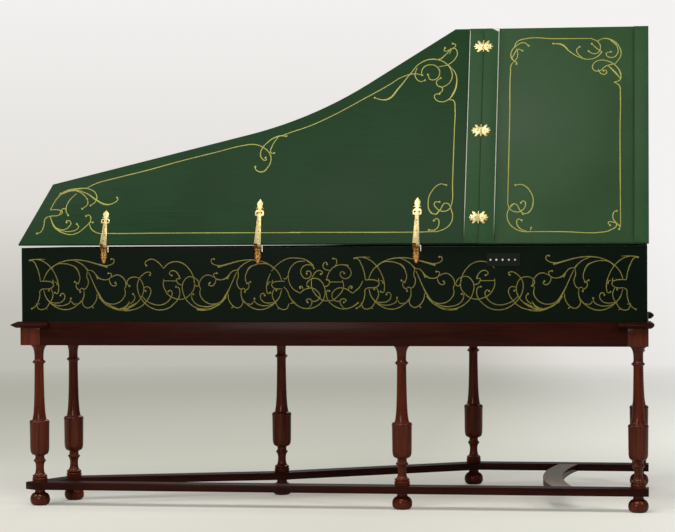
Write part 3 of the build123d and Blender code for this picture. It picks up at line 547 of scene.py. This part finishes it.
dress(oak, "wrest_plank", "wrest_plank_blocks")
dress(spruce, "soundboard")
dress(walnut, "bridges", "nuts")
dress(pear, *[n for n in nodes if n.startswith(("jacks_", "register_"))])
dress(pine, "lid_prop")
# The hinges' case leaves take the dark brass as painted shade, for they stand on the upright spine.
dress(old_brass, "strap_hinge_case_leaves")
# The hinge pins and adjuster screws are near white because their glint is painted into the colour.
dress(glinting_brass, "strap_hinge_pins", "adjuster_screws")
dress(brass, "stop_lever_4ft", "stop_lever_back_8ft", "stop_lever_pins")
dress(dark_plate, "adjuster_plate")
dress(wire_brass, "strings_8ft")
dress(steel, "strings_4ft", "tuning_pins")


def camera_axes():
    """The camera's right, up and forward directions."""
    near = cos(camera_pitch)
    ahead = Vector((sin(camera_yaw) * near, cos(camera_yaw) * near, sin(camera_pitch)))
    level = Vector((cos(camera_yaw), -sin(camera_yaw), 0))
    upright = level.cross(ahead)
    right = level * cos(camera_roll) + upright * sin(camera_roll)
    up = upright * cos(camera_roll) - level * sin(camera_roll)
    return right, up, ahead


camera_right, camera_up, camera_ahead = camera_axes()


def sight_line(px, py):
    """The direction seen at a point of the picture."""
    focal = lens / sensor * frame_width
    across, down = (px - frame_width / 2) / focal, (frame_height / 2 - py) / focal
    return camera_ahead + camera_right * across + camera_up * down


def on_spine(px, py):
    """Where the picture's point lies on the spine: distance along, height."""
    line = sight_line(px, py)
    point = camera_place + line * ((spine_face - camera_place.y) / line.y)
    return point.x, point.z


lid_out = Vector((0, -sin(lid_angle), cos(lid_angle)))
lid_down = Vector((0, cos(lid_angle), sin(lid_angle)))
lid_axis = Vector((0, hinge_y, hinge_z))


def on_lid(px, py):
    """Where the picture's point lies on the open lid: distance along, distance from the hinge line."""
    line = sight_line(px, py)
    origin = lid_axis + lid_out * (lid_face - hinge_z)
    reach = (origin - camera_place).dot(lid_out) / line.dot(lid_out)
    point = camera_place + line * reach
    return point.x, (point - lid_axis).dot(lid_down)


spine_plane = Matrix(((1, 0, 0, 0), (0, 0, -1, spine_face), (0, 1, 0, 0), (0, 0, 0, 1)))
lid_plane = Matrix.Translation(lid_axis + lid_out * (lid_face - hinge_z)) @ Matrix(
    ((1, 0, 0, 0), (0, lid_down.y, lid_out.y, 0), (0, lid_down.z, lid_out.z, 0), (0, 0, 0, 1))
)


def sheet(left, top, scale):
    """A drawing sheet over the picture, from its top left corner and its scale."""
    def spot(u, v):
        return left + u / scale, top + v / scale
    return spot


def moved(spot, across, down):
    """The same sheet drawn elsewhere: each direction is a pair of scale and shift."""
    def other(u, v):
        px, py = spot(u, v)
        return across[0] * px + across[1], down[0] * py + down[1]
    return other


# Hinges: a strap's outline is in shares of its length and half widths in millimetres, a butterfly leaf's in
# millimetres from the joint and across. Each strap has its place along the spine and its length, and each
# butterfly its distance from the hinge line. butterfly_starts says where the leaves on both sides begin.
hinge_gap = 4.8 * mm
knuckle_keep = 0.8 * mm
strap_eye = 3.6 * mm
strap_eye_out = 8.2 * mm
strap_eye_share = 0.684
strap_screw = 2.1 * mm
strap_screw_shares = (0.1, 0.27, 0.5, 0.69)
barrel_half = 2.6 * mm
butterfly_screw_out = 12.6 * mm
butterfly_screw = 2.9 * mm
butterfly_screw_sink = 0.6 * mm
butterfly_hole = 3.0 * mm
screw_dome = 0.32
butterfly_starts = {-1: 1.0, 1: 2.7}
strap_thickness = 2.0 * mm
strap_centres = [(-1953.7 * mm, 137 * mm), (-1377.55 * mm, 180 * mm), (-796.11 * mm, 183 * mm)]
strap_outline = [
    (0, 12.8), (0.3, 9.9), (0.6, 7.2), (0.612, 9), (0.622, 16.6), (0.65, 15.6), (0.7, 17), (0.735, 14.6),
    (0.755, 9.5), (0.765, 4.8), (0.78, 6), (0.79, 15), (0.8, 13), (0.812, 7.5), (0.85, 10), (0.88, 11.4),
    (0.91, 10.4), (0.94, 7), (0.97, 3.5), (1, 0.3),
]
butterfly_thickness = 1.5 * mm
butterfly_centres = [95.81 * mm, 446.82 * mm, 797.84 * mm]
butterfly_outline = [
    (0.4, 13.5), (5, 14.6), (10, 17), (13.3, 20.4), (14.6, 23), (18.3, 24.6), (22.2, 23.6), (23.4, 20),
    (20.4, 15.2), (18, 11.4), (22.6, 10.4), (27, 12.4), (31, 11), (31.6, 7.6), (27, 4.6), (30.5, 3.4),
    (34.6, 2.2), (35.2, 0.3),
]


def on_lid_board(x, reach, height):
    """A point of the open lid from its closed place: along, from the hinge line, above the lid's face."""
    away = lid_down * (reach + hinge_gap) + lid_out * (lid_face - hinge_z + height)
    return Vector((x, 0, 0)) + lid_axis + away


def cut_plate(outline, thickness, holes, edge=0.35 * mm):
    """A flat plate of this outline in its own plane, pierced and eased."""
    shape = bmesh.new()
    verts = [shape.verts.new((x, y, 0)) for x, y in outline]
    face = shape.faces.new(verts)
    raised = bmesh.ops.extrude_face_region(shape, geom=[face])["geom"]
    top = [v for v in raised if isinstance(v, bmesh.types.BMVert)]
    bmesh.ops.translate(shape, verts=top, vec=(0, 0, thickness))
    bmesh.ops.recalc_face_normals(shape, faces=shape.faces)
    rim = [e for e in shape.edges if all(abs(v.co.z - thickness) < 1e-7 for v in e.verts)]
    bmesh.ops.bevel(
        shape, geom=rim, offset=edge, offset_type="OFFSET", segments=2, profile=0.5, affect="EDGES",
        clamp_overlap=True, material=-1,
    )
    plate = bpy.data.meshes.new("plate")
    shape.to_mesh(plate)
    shape.free()
    drills = bmesh.new()
    for x, y, radius in holes:
        bmesh.ops.create_cone(
            drills, cap_ends=True, segments=20, radius1=radius, radius2=radius, depth=thickness * 6,
            matrix=Matrix.Translation((x, y, 0)),
        )
    drill_mesh = bpy.data.meshes.new("drills")
    drills.to_mesh(drill_mesh)
    drills.free()
    work = bpy.data.objects.new("plate", plate)
    tool = bpy.data.objects.new("drills", drill_mesh)
    for thing in (work, tool):
        bpy.context.scene.collection.objects.link(thing)
    cut = work.modifiers.new("pierce", "BOOLEAN")
    cut.operation = "DIFFERENCE"
    cut.object = tool
    cut.solver = "EXACT"
    bpy.context.view_layer.update()
    result = bpy.data.meshes.new_from_object(work.evaluated_get(bpy.context.evaluated_depsgraph_get()))
    for thing in (work, tool):
        bpy.data.objects.remove(thing)
    return result


def laid(shape, plate, matrix):
    """Adds a plate to a shape at this place."""
    plate.transform(matrix)
    shape.from_mesh(plate)


def lid_frame(x, reach, height):
    """The open lid's own axes at a point: along the lid, away from the hinge line, outwards."""
    spot = on_lid_board(x, reach, height)
    return Matrix((
        (1, 0, 0, spot.x),
        (0, lid_down.y, lid_out.y, spot.y),
        (0, lid_down.z, lid_out.z, spot.z),
        (0, 0, 0, 1),
    ))


def screw_heads(name, places, radius, body, finish):
    """Low domed screw heads on the lid's metalwork."""
    shape = bmesh.new()
    for x, reach, height in places:
        frame_here = lid_frame(x, reach, height) @ Matrix.Diagonal((1, 1, screw_dome, 1))
        bmesh.ops.create_uvsphere(shape, u_segments=14, v_segments=8, radius=radius, matrix=frame_here)
    finished(from_bmesh(shape, name), name, finish, body, angle=60)


def strap_leaves():
    """The three long hinges' straps with pierced spear ends, on their packed knuckles."""
    shape = merged_copy("strap_hinge_lid_leaves")
    geometry = list(shape.verts) + list(shape.edges) + list(shape.faces)
    bmesh.ops.bisect_plane(
        shape, geom=geometry, plane_co=on_lid_board(0, knuckle_keep, 0), plane_no=lid_down, clear_outer=True
    )
    bmesh.ops.holes_fill(shape, edges=[e for e in shape.edges if e.is_boundary], sides=0)
    screws = []
    for x, length in strap_centres:
        side = [(w * mm, d * length) for d, w in strap_outline]
        outline = side + [(-w, d) for w, d in side[::-1]]
        eyes = [(sign * strap_eye_out, strap_eye_share * length, strap_eye) for sign in (-1, 1)]
        laid(shape, cut_plate(outline, strap_thickness, eyes), lid_frame(x, 0, 0))
        screws += [(x, share * length, strap_thickness) for share in strap_screw_shares]
    name = "strap_leaves"
    finished(from_bmesh(shape, name), name, brass, "lid", ["strap_hinge_lid_leaves"], 40)
    screw_heads("strap_screws", screws, strap_screw, "lid", old_brass)


def butterfly_leaves():
    """Leaves with five lobes on both sides of the joint between lid and flap."""
    rise = cleat_face - lid_face
    barrels = merged_copy("butterfly_lid_leaves")
    for plane_x, outward in ((flap_joint - barrel_half, -1), (flap_joint + barrel_half, 1)):
        geometry = list(barrels.verts) + list(barrels.edges) + list(barrels.faces)
        bmesh.ops.bisect_plane(
            barrels, geom=geometry, plane_co=(plane_x, 0, 0), plane_no=(outward, 0, 0), clear_outer=True
        )
    bmesh.ops.holes_fill(barrels, edges=[e for e in barrels.edges if e.is_boundary], sides=0)
    flap = bmesh.new()
    screws = {-1: [], 1: []}
    for reach in butterfly_centres:
        for side, shape in ((-1, barrels), (1, flap)):
            edge = [(side * max(x, butterfly_starts[side]) * mm, y * mm) for x, y in butterfly_outline]
            outline = edge + [(x, -y) for x, y in edge[::-1]]
            hole = [(side * butterfly_screw_out, 0, butterfly_hole)]
            laid(shape, cut_plate(outline, butterfly_thickness, hole), lid_frame(flap_joint, reach, rise))
            seat = rise + butterfly_thickness - butterfly_screw_sink
            screws[side].append((flap_joint + side * butterfly_screw_out, reach, seat))
    for shape, body in ((barrels, "lid"), (flap, "flap")):
        name = "butterfly_" + body + "_side"
        finished(from_bmesh(shape, name), name, brass, body, ["butterfly_" + body + "_leaves"], 40)
    screw_heads("butterfly_lid_screws", screws[-1], butterfly_screw, "lid", steel)
    screw_heads("butterfly_flap_screws", screws[1], butterfly_screw, "flap", steel)


strap_leaves()
butterfly_leaves()

# A painted line's width and how far it stands proud, and its drops and plain ends as shares of that width
line_width = 3.5 * mm
paint_rise = 0.25 * mm
ball_width = 2.3
taper = 0.75


class Brushwork:
    """Painted or chased lines on one flat board, gathered into one piece.

    A stroke is written as points "u,v", with a third number where the brush presses more or less than
    usual. A point that ends in o is finished with a drop of paint."""

    def __init__(self, name, board, onto):
        self.name = name
        self.board = board
        self.onto = onto
        self.curve = bpy.data.curves.new(name, "CURVE")
        self.curve.dimensions = "3D"
        self.curve.resolution_u = 5
        self.curve.bevel_depth = 1.0
        self.curve.bevel_resolution = 1
        self.curve.use_fill_caps = True
        self.drops = []

    def stroke(self, spot, text, width=1.0, straight=False):
        points = text.split()
        spline = self.curve.splines.new("BEZIER")
        spline.bezier_points.add(len(points) - 1)
        for k, word in enumerate(points):
            numbers = [float(n) for n in word.rstrip("o").split(",")]
            x, y = self.onto(*spot(*numbers[:2]))
            press = numbers[2] if len(numbers) > 2 else (taper if k in (0, len(points) - 1) else 1.0)
            if straight:
                press = 1.0
            point = spline.bezier_points[k]
            point.co = (x, y, 0)
            point.radius = press * width * line_width / 2
            point.handle_left_type = point.handle_right_type = "VECTOR" if straight else "AUTO"
            if word.endswith("o"):
                self.drops.append((x, y, ball_width * width * line_width / 2))

    def piece(self, finish, body, slot):
        carrier = bpy.data.objects.new(self.name, self.curve)
        bpy.context.scene.collection.objects.link(carrier)
        bpy.context.view_layer.update()
        lines = bpy.data.meshes.new_from_object(carrier.evaluated_get(bpy.context.evaluated_depsgraph_get()))
        bpy.data.objects.remove(carrier)
        shape = bmesh.new()
        shape.from_mesh(lines)
        for x, y, radius in self.drops:
            spot = Matrix.Translation((x, y, 0))
            bmesh.ops.create_icosphere(shape, subdivisions=2, radius=radius, matrix=spot)
        for vert in shape.verts:
            vert.co.z = max(-1, min(1, vert.co.z / (line_width / 2))) * paint_rise
        bmesh.ops.remove_doubles(shape, verts=shape.verts, dist=0.000002)
        bmesh.ops.recalc_face_normals(shape, faces=shape.faces)
        bmesh.ops.transform(shape, matrix=self.board, verts=shape.verts)
        return finished(from_bmesh(shape, self.name), self.name, finish, body, angle=60)


# Scrolls of the spine, drawn on three sheets over the picture
leaf_sheet = sheet(24, 250, 14.79)
loop_sheet = sheet(104, 250, 13.288)
centre_sheet = sheet(272, 250, 17.42)
leaf_blade = [
    "85,155o 130,162 185,245 222,350 243,465",
    "100,145 190,140 290,172 388,250 455,345",
    "85,150 200,138 310,140,0.4",
    "243,465 330,462 400,475 437,508 420,550 370,574 280,574",
]
leaf_foot = [
    "280,574 240,600 233,680 200,790 150,850 115,870o",
    "235,795 200,800",
]
leaf_strokes = [
    "455,345 500,465 512,580 488,645 458,632o",
    "285,460 330,350 415,255 555,178 720,148,1.3 900,160 1080,208,1.5 1235,252,2.2",
    "1190,232 1290,215 1332,172 1315,132 1290,135o",
    "400,280 480,215 600,203 705,228 765,262,1.8 812,345 826,430 800,500",
    "752,472o 785,490 812,500,1.8",
    "785,490 770,530 790,575 825,600 832,622o",
    "740,155 830,195 900,250 945,305,1.9",
    "940,305 930,400 950,450 940,530 895,580 850,568 825,600",
    "945,300 1010,310 1060,360 1110,415,1.5 1180,440 1250,430 1290,390 1290,352 1248,345o",
    "1060,365 1092,432,1.4",
    "1258,425 1278,495 1328,532 1368,508 1352,485o",
    "1290,402 1380,370 1450,398 1500,470 1507,535 1488,570",
    "1488,570 1498,650 1462,725 1390,782 1300,800 1195,768 1110,660,1.8 1058,560 1010,450 955,330",
    "1110,690,1.5 1180,780 1290,850 1420,888,1.6 1545,882,1.6",
    "1080,655 1075,720 1042,790 1000,832 940,857 890,832 862,775 866,740o",
    "1000,832 1030,860,1.3",
    "885,590 887,680 860,742,1.5 790,812 700,866 610,882 500,858 385,775,1.4 320,690 290,590",
    "420,800 520,825 620,810 680,770 692,718o",
    "700,758 738,800 800,792",
    "400,775 480,785 560,765 604,700 590,652 552,645 540,672o",
    "400,576 426,640 420,710 380,780 320,862 220,872 190,820 180,790",
    "320,862 350,880,0.5",
    "372,576 368,598o",
    "425,440 432,482,1.3",
    "455,470 488,490 490,520,1.4",
]
loop_strokes = [
    "563,208o 545,175 580,137 640,123 720,165 792,245",
    "792,245 850,185 940,155 1040,175 1120,240 1180,340 1203,450 1190,530 1140,595 1080,640 1010,657 930,640 "
    "860,600 810,530 788,460 792,385",
    "790,410 960,412",
    "900,340o 870,318 885,285 930,277 980,315 1010,382,1.6",
    "1010,385 965,387 968,420 1000,457 1050,462",
    "1190,365 1130,355 1070,400 1040,480 1050,560 1080,640 1140,712 1220,765 1320,790,1.7 "
    "1420,780,1.7 1530,712",
    "1190,360 1240,400 1262,455",
    "1190,365 1200,430 1222,480 1250,475 1265,450",
    "1160,600 1175,660 1230,722 1300,748 1400,752,1.5 1500,715",
    "1188,588o 1160,600",
    "338,480o 305,440 330,385 400,360 470,380 515,450 527,530 500,620 440,700 340,768 240,790,2.2",
    "608,335o 622,312 580,294 520,325 465,390 443,470 455,560 490,640 550,712 640,775 750,797 "
    "850,775 930,715 "
    "990,640 1008,570 990,500 957,490o",
    "552,545o 528,520 575,488 620,530 615,590 570,670 500,745 400,790 280,803,1.8 150,772,1.4 60,722 0,690",
    "500,610 560,672 640,715 740,732 830,700 890,630 905,570 880,535 855,550o",
    "200,785 290,755,2.2 342,680,0.4",
    "340,720 390,680 410,620 385,585o",
    "330,762,2.0 430,702,0.4",
]
centre_strokes = [
    "730,322o 710,270,1.8 640,205,1.5 540,155 400,140 270,150 160,205 60,285 -10,370",
    "570,195 450,205 360,265 300,360 283,470 310,590 370,680 440,725 490,752",
    "490,752 550,700 640,666 720,670 790,720 838,800 800,870 730,895 690,885",
    "700,270 620,257 540,290 500,370 520,440 580,497 650,480 682,420 650,370 600,380 606,415o",
    "692,500 720,440 780,370 850,363 880,400 850,422o",
    "605,622 618,560 680,510 770,495 850,540 910,640 925,750 890,870 820,950 720,1005 600,1020 "
    "480,990 390,920,1.5 "
    "310,820 260,700 210,650",
    "690,500 690,640 740,750 830,842 900,880 1060,880",
    "492,662o 480,640 520,638 545,690",
    "635,640o 600,630",
    "620,910o 598,880 640,853 690,880 687,950 640,1010",
    "950,515 980,420 1020,350 1100,285 1200,257 1330,272,1.8",
    "1310,280 1372,360 1370,440 1310,493 1230,485 1188,412 1230,375 1260,408o",
    "1100,285 1127,220 1112,155 1065,150o",
    "1000,350 940,345 890,290 908,230 955,222 958,250o",
    "940,520 990,530,1.4 1000,560 985,610 940,635 910,640",
    "1000,558 1225,558",
    "1222,520 1247,620 1220,720 1150,800 1080,862 1030,880",
    "1400,755 1330,700 1240,665 1150,665 1080,710 1043,790 1080,870 1130,895 1190,890",
    "1400,755 1470,700 1530,640 1580,540",
    "1385,662o 1400,640 1350,638 1332,690",
    "1250,912o 1292,880 1240,850 1188,880 1200,950 1260,1012",
    "1000,715o 965,705 948,780 980,880 1060,960 1180,1017 1300,1022 1410,985 1510,912,1.5",
    "200,490 232,505 270,455",
    "205,640 250,690",
    "320,930 400,915,1.6",
]


# Where groups of the spine's scrolls come again, each as a scale and a shift in pixels of the picture
as_drawn = (1.0, 0.0)
leaf_edge = 29.75
loop_edge = 149.9
first_mirror = (-1.0, 325.2)
second_leaf = 1.042
second_leaf_edge = 354.4
second_leaf_down = (1.035, -11.3)
last_loop = 1.097
last_loop_edge = 509.5
last_loop_down = (1.006, -2.0)
last_leaf = 1.092
last_leaf_edge = 638
last_leaf_down = (1.079, -23.9)
spine_line = 0.9


def spine_scrolls():
    """The long band of scrollwork: leaves, linked loops and a centre, then the same again mirrored."""
    work = Brushwork("spine_scrollwork", spine_plane, on_spine)
    whole_leaf = leaf_strokes + leaf_blade + leaf_foot
    second_across = (second_leaf, second_leaf_edge - leaf_edge * second_leaf)
    loop_across = (-last_loop, last_loop_edge + loop_edge * last_loop)
    last_across = (-last_leaf, last_leaf_edge + leaf_edge * last_leaf)
    places = [
        (leaf_sheet, whole_leaf),
        (loop_sheet, loop_strokes),
        (moved(leaf_sheet, first_mirror, as_drawn), leaf_strokes + leaf_blade[3:]),
        (centre_sheet, centre_strokes),
        (moved(leaf_sheet, second_across, second_leaf_down), leaf_strokes + leaf_blade + leaf_foot[:1]),
        (moved(loop_sheet, loop_across, last_loop_down), loop_strokes[1:]),
        (moved(leaf_sheet, last_across, last_leaf_down), whole_leaf),
    ]
    for spot, strokes in places:
        for text in strokes:
            work.stroke(spot, text, spine_line)
    work.piece(case_gilding, "case", "brass")


# Scrolls of the lid and the flap, drawn on three more sheets
tail_sheet = sheet(40, 30, 6.03)
bend_sheet = sheet(290, 30, 7.126)
flap_sheet = sheet(500, 30, 7.13)
tail_strokes = [
    "285,952 340,925 450,895 650,845 850,790 1050,740 1240,694 1290,690 1340,705 1385,745 1392,790 1372,830 "
    "1342,855,1.4 1300,840 1298,825o",
    "1485,640o 1440,640,1.5 1370,680 1332,732 1335,770 1362,785 1360,770o",
    "1440,640 1400,700 1394,742 1412,742o",
    "1425,648 1500,622 1568,598",
    "62,1085 100,1020 150,975,1.6 230,958,1.6 300,960 342,1000 330,1040 305,1058o",
    "125,985o 140,990",
    "130,990 200,968,1.5 280,985 335,1022,1.8 395,1052,1.8 440,1045 470,1018 465,1010o",
    "210,965 270,1000 287,1050 255,1078o",
    "220,985 170,1040 157,1090 170,1118o",
    "62,1085 110,1085 135,1098 118,1115 60,1124 32,1138 24,1175 4,1219 -18,1227o",
    "118,1112 138,1078 152,1080 160,1100",
    "60,1125 90,1190,1.8 150,1228 210,1230 270,1190 307,1140 290,1115 278,1122o",
    "90,1190 140,1205 176,1185 185,1160 162,1150 160,1160o",
    "110,1205 180,1215 232,1190 222,1170o",
    "295,1160 310,1200 350,1225 410,1227 700,1225 1100,1223 1568,1222",
    "300,1160 318,1160o",
]
bend_strokes = [
    "0,732 150,680 300,612 400,560 500,505 700,395 800,335 890,312 942,322o",
    "605,483o 640,495 700,492,1.8 770,420,1.5 860,310 930,235 1020,208,1.5 1100,230 1150,290 "
    "1152,350 1112,395 "
    "1070,405 1043,370 1075,342o",
    "1130,250 1180,310 1186,390,1.5 1165,450,1.8 1130,495 1080,512 1035,490 1033,462 1065,455o",
    "1070,400 1088,425 1060,455",
    "905,270 893,330 930,367 962,358o",
    "935,322 950,270 1000,247 1050,265 1067,310 1040,350 1000,352 983,318o",
    "1060,262 1130,245 1180,200 1192,155 1165,130 1135,170",
    "1150,135 1100,148 1105,127o",
    "1160,130 1182,108 1160,97o",
    "1020,205 1060,210,1.5 1110,175 1150,130",
    "1130,495 1165,503 1176,560 1172,700 1165,900 1158,1100 1152,1240 1130,1280 1090,1292 1045,1270 "
    "1030,1230 "
    "1065,1225o",
    "1040,1315,1.5 1070,1280 1112,1233 1150,1285 1158,1340 1140,1385 1105,1415 1050,1436",
    "1050,1436 900,1440 500,1442 0,1442",
    "1113,1105o 1070,1098 1010,1150 985,1220 1005,1302,1.4 1045,1315",
    "1025,1358o 1045,1343 1062,1380 1030,1425 990,1425o",
]
flap_strokes = [
    "205,112o 170,90 120,110 80,160 85,203,1.3 120,235 118,242o",
    "160,147o 130,138 98,178 85,203",
    "120,130 125,190 105,222",
    "660,60 400,62 165,65 118,88 104,120",
    "105,222 82,245 75,300 70,600 63,900 55,1240",
    "380,97o 440,103,1.8 500,155 570,195 640,208 700,185 727,155,1.3",
    "567,120o 547,140 560,175 592,200",
    "650,60 700,85 716,130 692,165 640,158 632,150o",
    "655,98o 690,130 727,155",
    "690,82 740,60 800,73,1.6 850,120 862,180 822,240",
    "790,75 838,122 830,180 790,196 757,168 792,155o",
    "822,240 760,255 700,293 665,280 667,240 712,215 765,220 820,250 860,310,1.3 855,355 822,372o",
    "822,372 853,400 858,450 856,700 857,1000 860,1385",
    "770,253 820,300,1.7 858,345",
    "700,280 725,312 757,310 755,287 738,290o",
    "110,1105o 160,1103 215,1150 237,1220 205,1300,1.3 165,1312o",
    "55,1240 70,1275 112,1297 150,1290 182,1250 168,1218 150,1232o",
    "62,1278 100,1238 150,1295 170,1312,1.5",
    "100,1240 60,1282 52,1340 85,1400 150,1434 210,1440",
    "155,1357o 130,1348 120,1380 150,1420 190,1434",
    "222,1410o 215,1436",
    "190,1438 450,1438 730,1441 790,1425 832,1390 805,1340 820,1292 832,1290o",
    "785,1392o 772,1372 810,1370 862,1400,1.5",
    "850,1420o 860,1385",
]


# Chasing on one side of a case leaf, in millimetres from its middle and down from the rim
chased_strokes = [
    "0,57 -3.4,52 -2,47 -5,43 -7.4,38 -4,33 -6.4,28 -8,22 -5,17 -8,12",
    "0,41 -3,37 0,33 -3.6,28 -3,22 0,19",
    "-2,12 -4,9 -8,7",
    "0,53 -1.6,49 0,46",
]
chased_line = 0.62
chased_rise = 0.05 * mm
knuckle_reach = 30 * mm


def case_leaf_scrolls():
    """Chased scrolls, bright against the dark brass of the hinges' case leaves, whose darkness is painted
    shade.
    """
    leaf = nodes["strap_hinge_case_leaves"].data
    front = min(v.co.y for v in leaf.vertices if v.co.z < case_rim - knuckle_reach)
    board = Matrix(((1, 0, 0, 0), (0, 0, -1, front - chased_rise), (0, 1, 0, 0), (0, 0, 0, 1)))
    chased = Brushwork("strap_case_chasing", board, lambda x, z: (x, z))
    for middle, _ in strap_centres:
        def spot(across, down, middle=middle):
            return middle + across * mm, case_rim - down * mm
        for text in chased_strokes:
            chased.stroke(spot, text, chased_line)
            chased.stroke(spot, text.replace("-", ""), chased_line)
    chased.piece(chased_brass, "case", "brass")


def lid_scrolls():
    """Gold lines with scrolled corners on the main lid and on the flap."""
    main = Brushwork("lid_gold_lines", lid_plane, on_lid)
    for spot, strokes in ((tail_sheet, tail_strokes), (bend_sheet, bend_strokes)):
        for text in strokes:
            main.stroke(spot, text)
    main.piece(gilding, "lid", "brass")
    flap = Brushwork("flap_gold_lines", lid_plane, on_lid)
    for text in flap_strokes:
        flap.stroke(flap_sheet, text)
    flap.piece(gilding, "flap", "brass")


spine_scrolls()
case_leaf_scrolls()
lid_scrolls()


stage_middle = (-1.1, 0.4)


def pale_floor():
    """A floor that is paler to the right and clears away with distance, so that no horizon shows."""
    ground = Finish("pale_studio_floor")
    across = ground.axis("x")
    back = ground.axis("y")
    cloud = ground.noise(ground.place, 0.7, 3.0)
    right = ground.span(across, -0.5, 1.0, 0.0, 0.6)
    depth = ground.span(back + cloud * 0.2 - right, 0.35, 2.3)
    tone = ground.ramp(
        depth, (0.0, plain(213, 211, 202)), (0.35, plain(209, 207, 197)), (0.7, plain(203, 203, 190)),
        (1.0, plain(200, 200, 187)),
    )
    lit = ground.span(across, -1.0, 0.5) * ground.span(back, -3.0, 2.5)
    tone = ground.blend(lit, tone, plain(255, 254, 246))
    ground.feed("Base Color", tone)
    seen_here = ground.add("ShaderNodeLightPath")
    ground.feed("Emission Color", ground.blend(seen_here, (0, 0, 0), tone))
    ground.shader.inputs["Emission Strength"].default_value = 0.34
    ground.shader.inputs["Roughness"].default_value = 0.9
    ground.shader.inputs["Specular IOR Level"].default_value = 0.1
    aside = across - stage_middle[0]
    beyond = back - stage_middle[1]
    reach = aside * aside + beyond * beyond
    ground.feed("Alpha", ground.span(reach, 9.0, 60.0, 1.0, 0.0))
    shape = bmesh.new()
    bmesh.ops.create_grid(shape, x_segments=1, y_segments=1, size=30)
    data = bpy.data.meshes.new("floor")
    shape.to_mesh(data)
    shape.free()
    data.materials.append(ground.material)
    floor = bpy.data.objects.new("floor", data)
    bpy.context.scene.collection.objects.link(floor)


def room_light():
    """The pale room seen behind, lighter upwards and to the right, and a weak even light for "
    "everything else."""
    world = bpy.data.worlds.new("studio")
    world.use_nodes = True
    bpy.context.scene.world = world
    tree = world.node_tree
    tree.nodes.clear()
    output = tree.nodes.new("ShaderNodeOutputWorld")
    soft = tree.nodes.new("ShaderNodeBackground")
    soft.inputs["Color"].default_value = (0.95, 0.98, 1.0, 1)
    soft.inputs["Strength"].default_value = 0.17
    seen = tree.nodes.new("ShaderNodeBackground")
    sky = tree.nodes.new("ShaderNodeTexCoord")
    part = tree.nodes.new("ShaderNodeSeparateXYZ")
    side = tree.nodes.new("ShaderNodeMapRange")
    for key, value in (("From Min", -0.1), ("From Max", 0.02), ("To Min", 0.0), ("To Max", 0.12)):
        side.inputs[key].default_value = value
    total = tree.nodes.new("ShaderNodeMath")
    rise = tree.nodes.new("ShaderNodeMapRange")
    rise.inputs["From Min"].default_value = -0.1
    rise.inputs["From Max"].default_value = 0.1
    wall = tree.nodes.new("ShaderNodeValToRGB")
    stops = (
        (0.0, plain(184, 184, 172)), (0.3, plain(195, 193, 185)), (0.52, plain(226, 223, 218)),
        (1.0, plain(244, 242, 241)),
    )
    for stop in stops[2:]:
        wall.color_ramp.elements.new(stop[0])
    for element, (position, colour) in zip(wall.color_ramp.elements, stops):
        element.position = position
        element.color = (*colour, 1)
    path = tree.nodes.new("ShaderNodeLightPath")
    behind = tree.nodes.new("ShaderNodeMath")
    behind.operation = "MAXIMUM"
    mix = tree.nodes.new("ShaderNodeMixShader")
    for source, target in (
        (sky.outputs["Generated"], part.inputs[0]),
        (part.outputs["X"], side.inputs["Value"]),
        (part.outputs["Z"], total.inputs[0]),
        (side.outputs[0], total.inputs[1]),
        (total.outputs[0], rise.inputs["Value"]),
        (rise.outputs[0], wall.inputs[0]),
        (wall.outputs[0], seen.inputs["Color"]),
        (path.outputs["Is Camera Ray"], behind.inputs[0]),
        (path.outputs["Is Transmission Ray"], behind.inputs[1]),
        (behind.outputs[0], mix.inputs[0]),
        (soft.outputs[0], mix.inputs[1]),
        (seen.outputs[0], mix.inputs[2]),
        (mix.outputs[0], output.inputs[0]),
    ):
        tree.links.new(source, target)


# Name, place, where it is aimed, size, power and tint of each lamp
lamps = (
    ("soft_box_high", (-1.6, -2.9, 5.4), (-1.1, 0.1, 1.0), (3.4, 2.0), 128, (1, 0.98, 0.95)),
    ("soft_box_front", (-2.6, -6.4, 2.2), (-1.1, 0.1, 0.6), (2.0, 1.6), 60, (1, 0.97, 0.92)),
    ("strip_left", (-4.2, -0.8, 3.2), (-0.7, -0.2, 1.3), (0.5, 2.6), 42, (1, 1, 1)),
    ("strip_right", (2.5, -1.6, 3.6), (-0.6, -0.2, 1.3), (0.5, 2.6), 42, (1, 1, 1)),
    ("soft_box_back", (-1.2, 4.6, 3.6), (-1.1, 0.4, 0.9), (3.2, 2.2), 45, (1, 1, 1)),
)


def hang_lamps():
    """Soft boxes above, in front and behind, and a strip on each side."""
    for name, place, target, size, power, tint in lamps:
        light = bpy.data.lights.new(name, "AREA")
        light.shape = "RECTANGLE"
        light.size, light.size_y = size
        light.energy = power
        light.color = tint
        holder = bpy.data.objects.new(name, light)
        bpy.context.scene.collection.objects.link(holder)
        holder.location = place
        holder.rotation_euler = (Vector(target) - Vector(place)).to_track_quat("-Z", "Y").to_euler()


def set_camera():
    """The camera where the photograph was taken from."""
    camera = bpy.data.cameras.new("camera")
    camera.lens = lens
    camera.sensor_width = sensor
    camera.clip_end = 100
    holder = bpy.data.objects.new("camera", camera)
    bpy.context.scene.collection.objects.link(holder)
    turn = Matrix((camera_right, camera_up, -camera_ahead)).transposed()
    holder.matrix_world = Matrix.Translation(camera_place) @ turn.to_4x4()
    bpy.context.scene.camera = holder
    bpy.context.scene.view_settings.view_transform = "Standard"


pale_floor()
room_light()
hang_lamps()
set_camera()
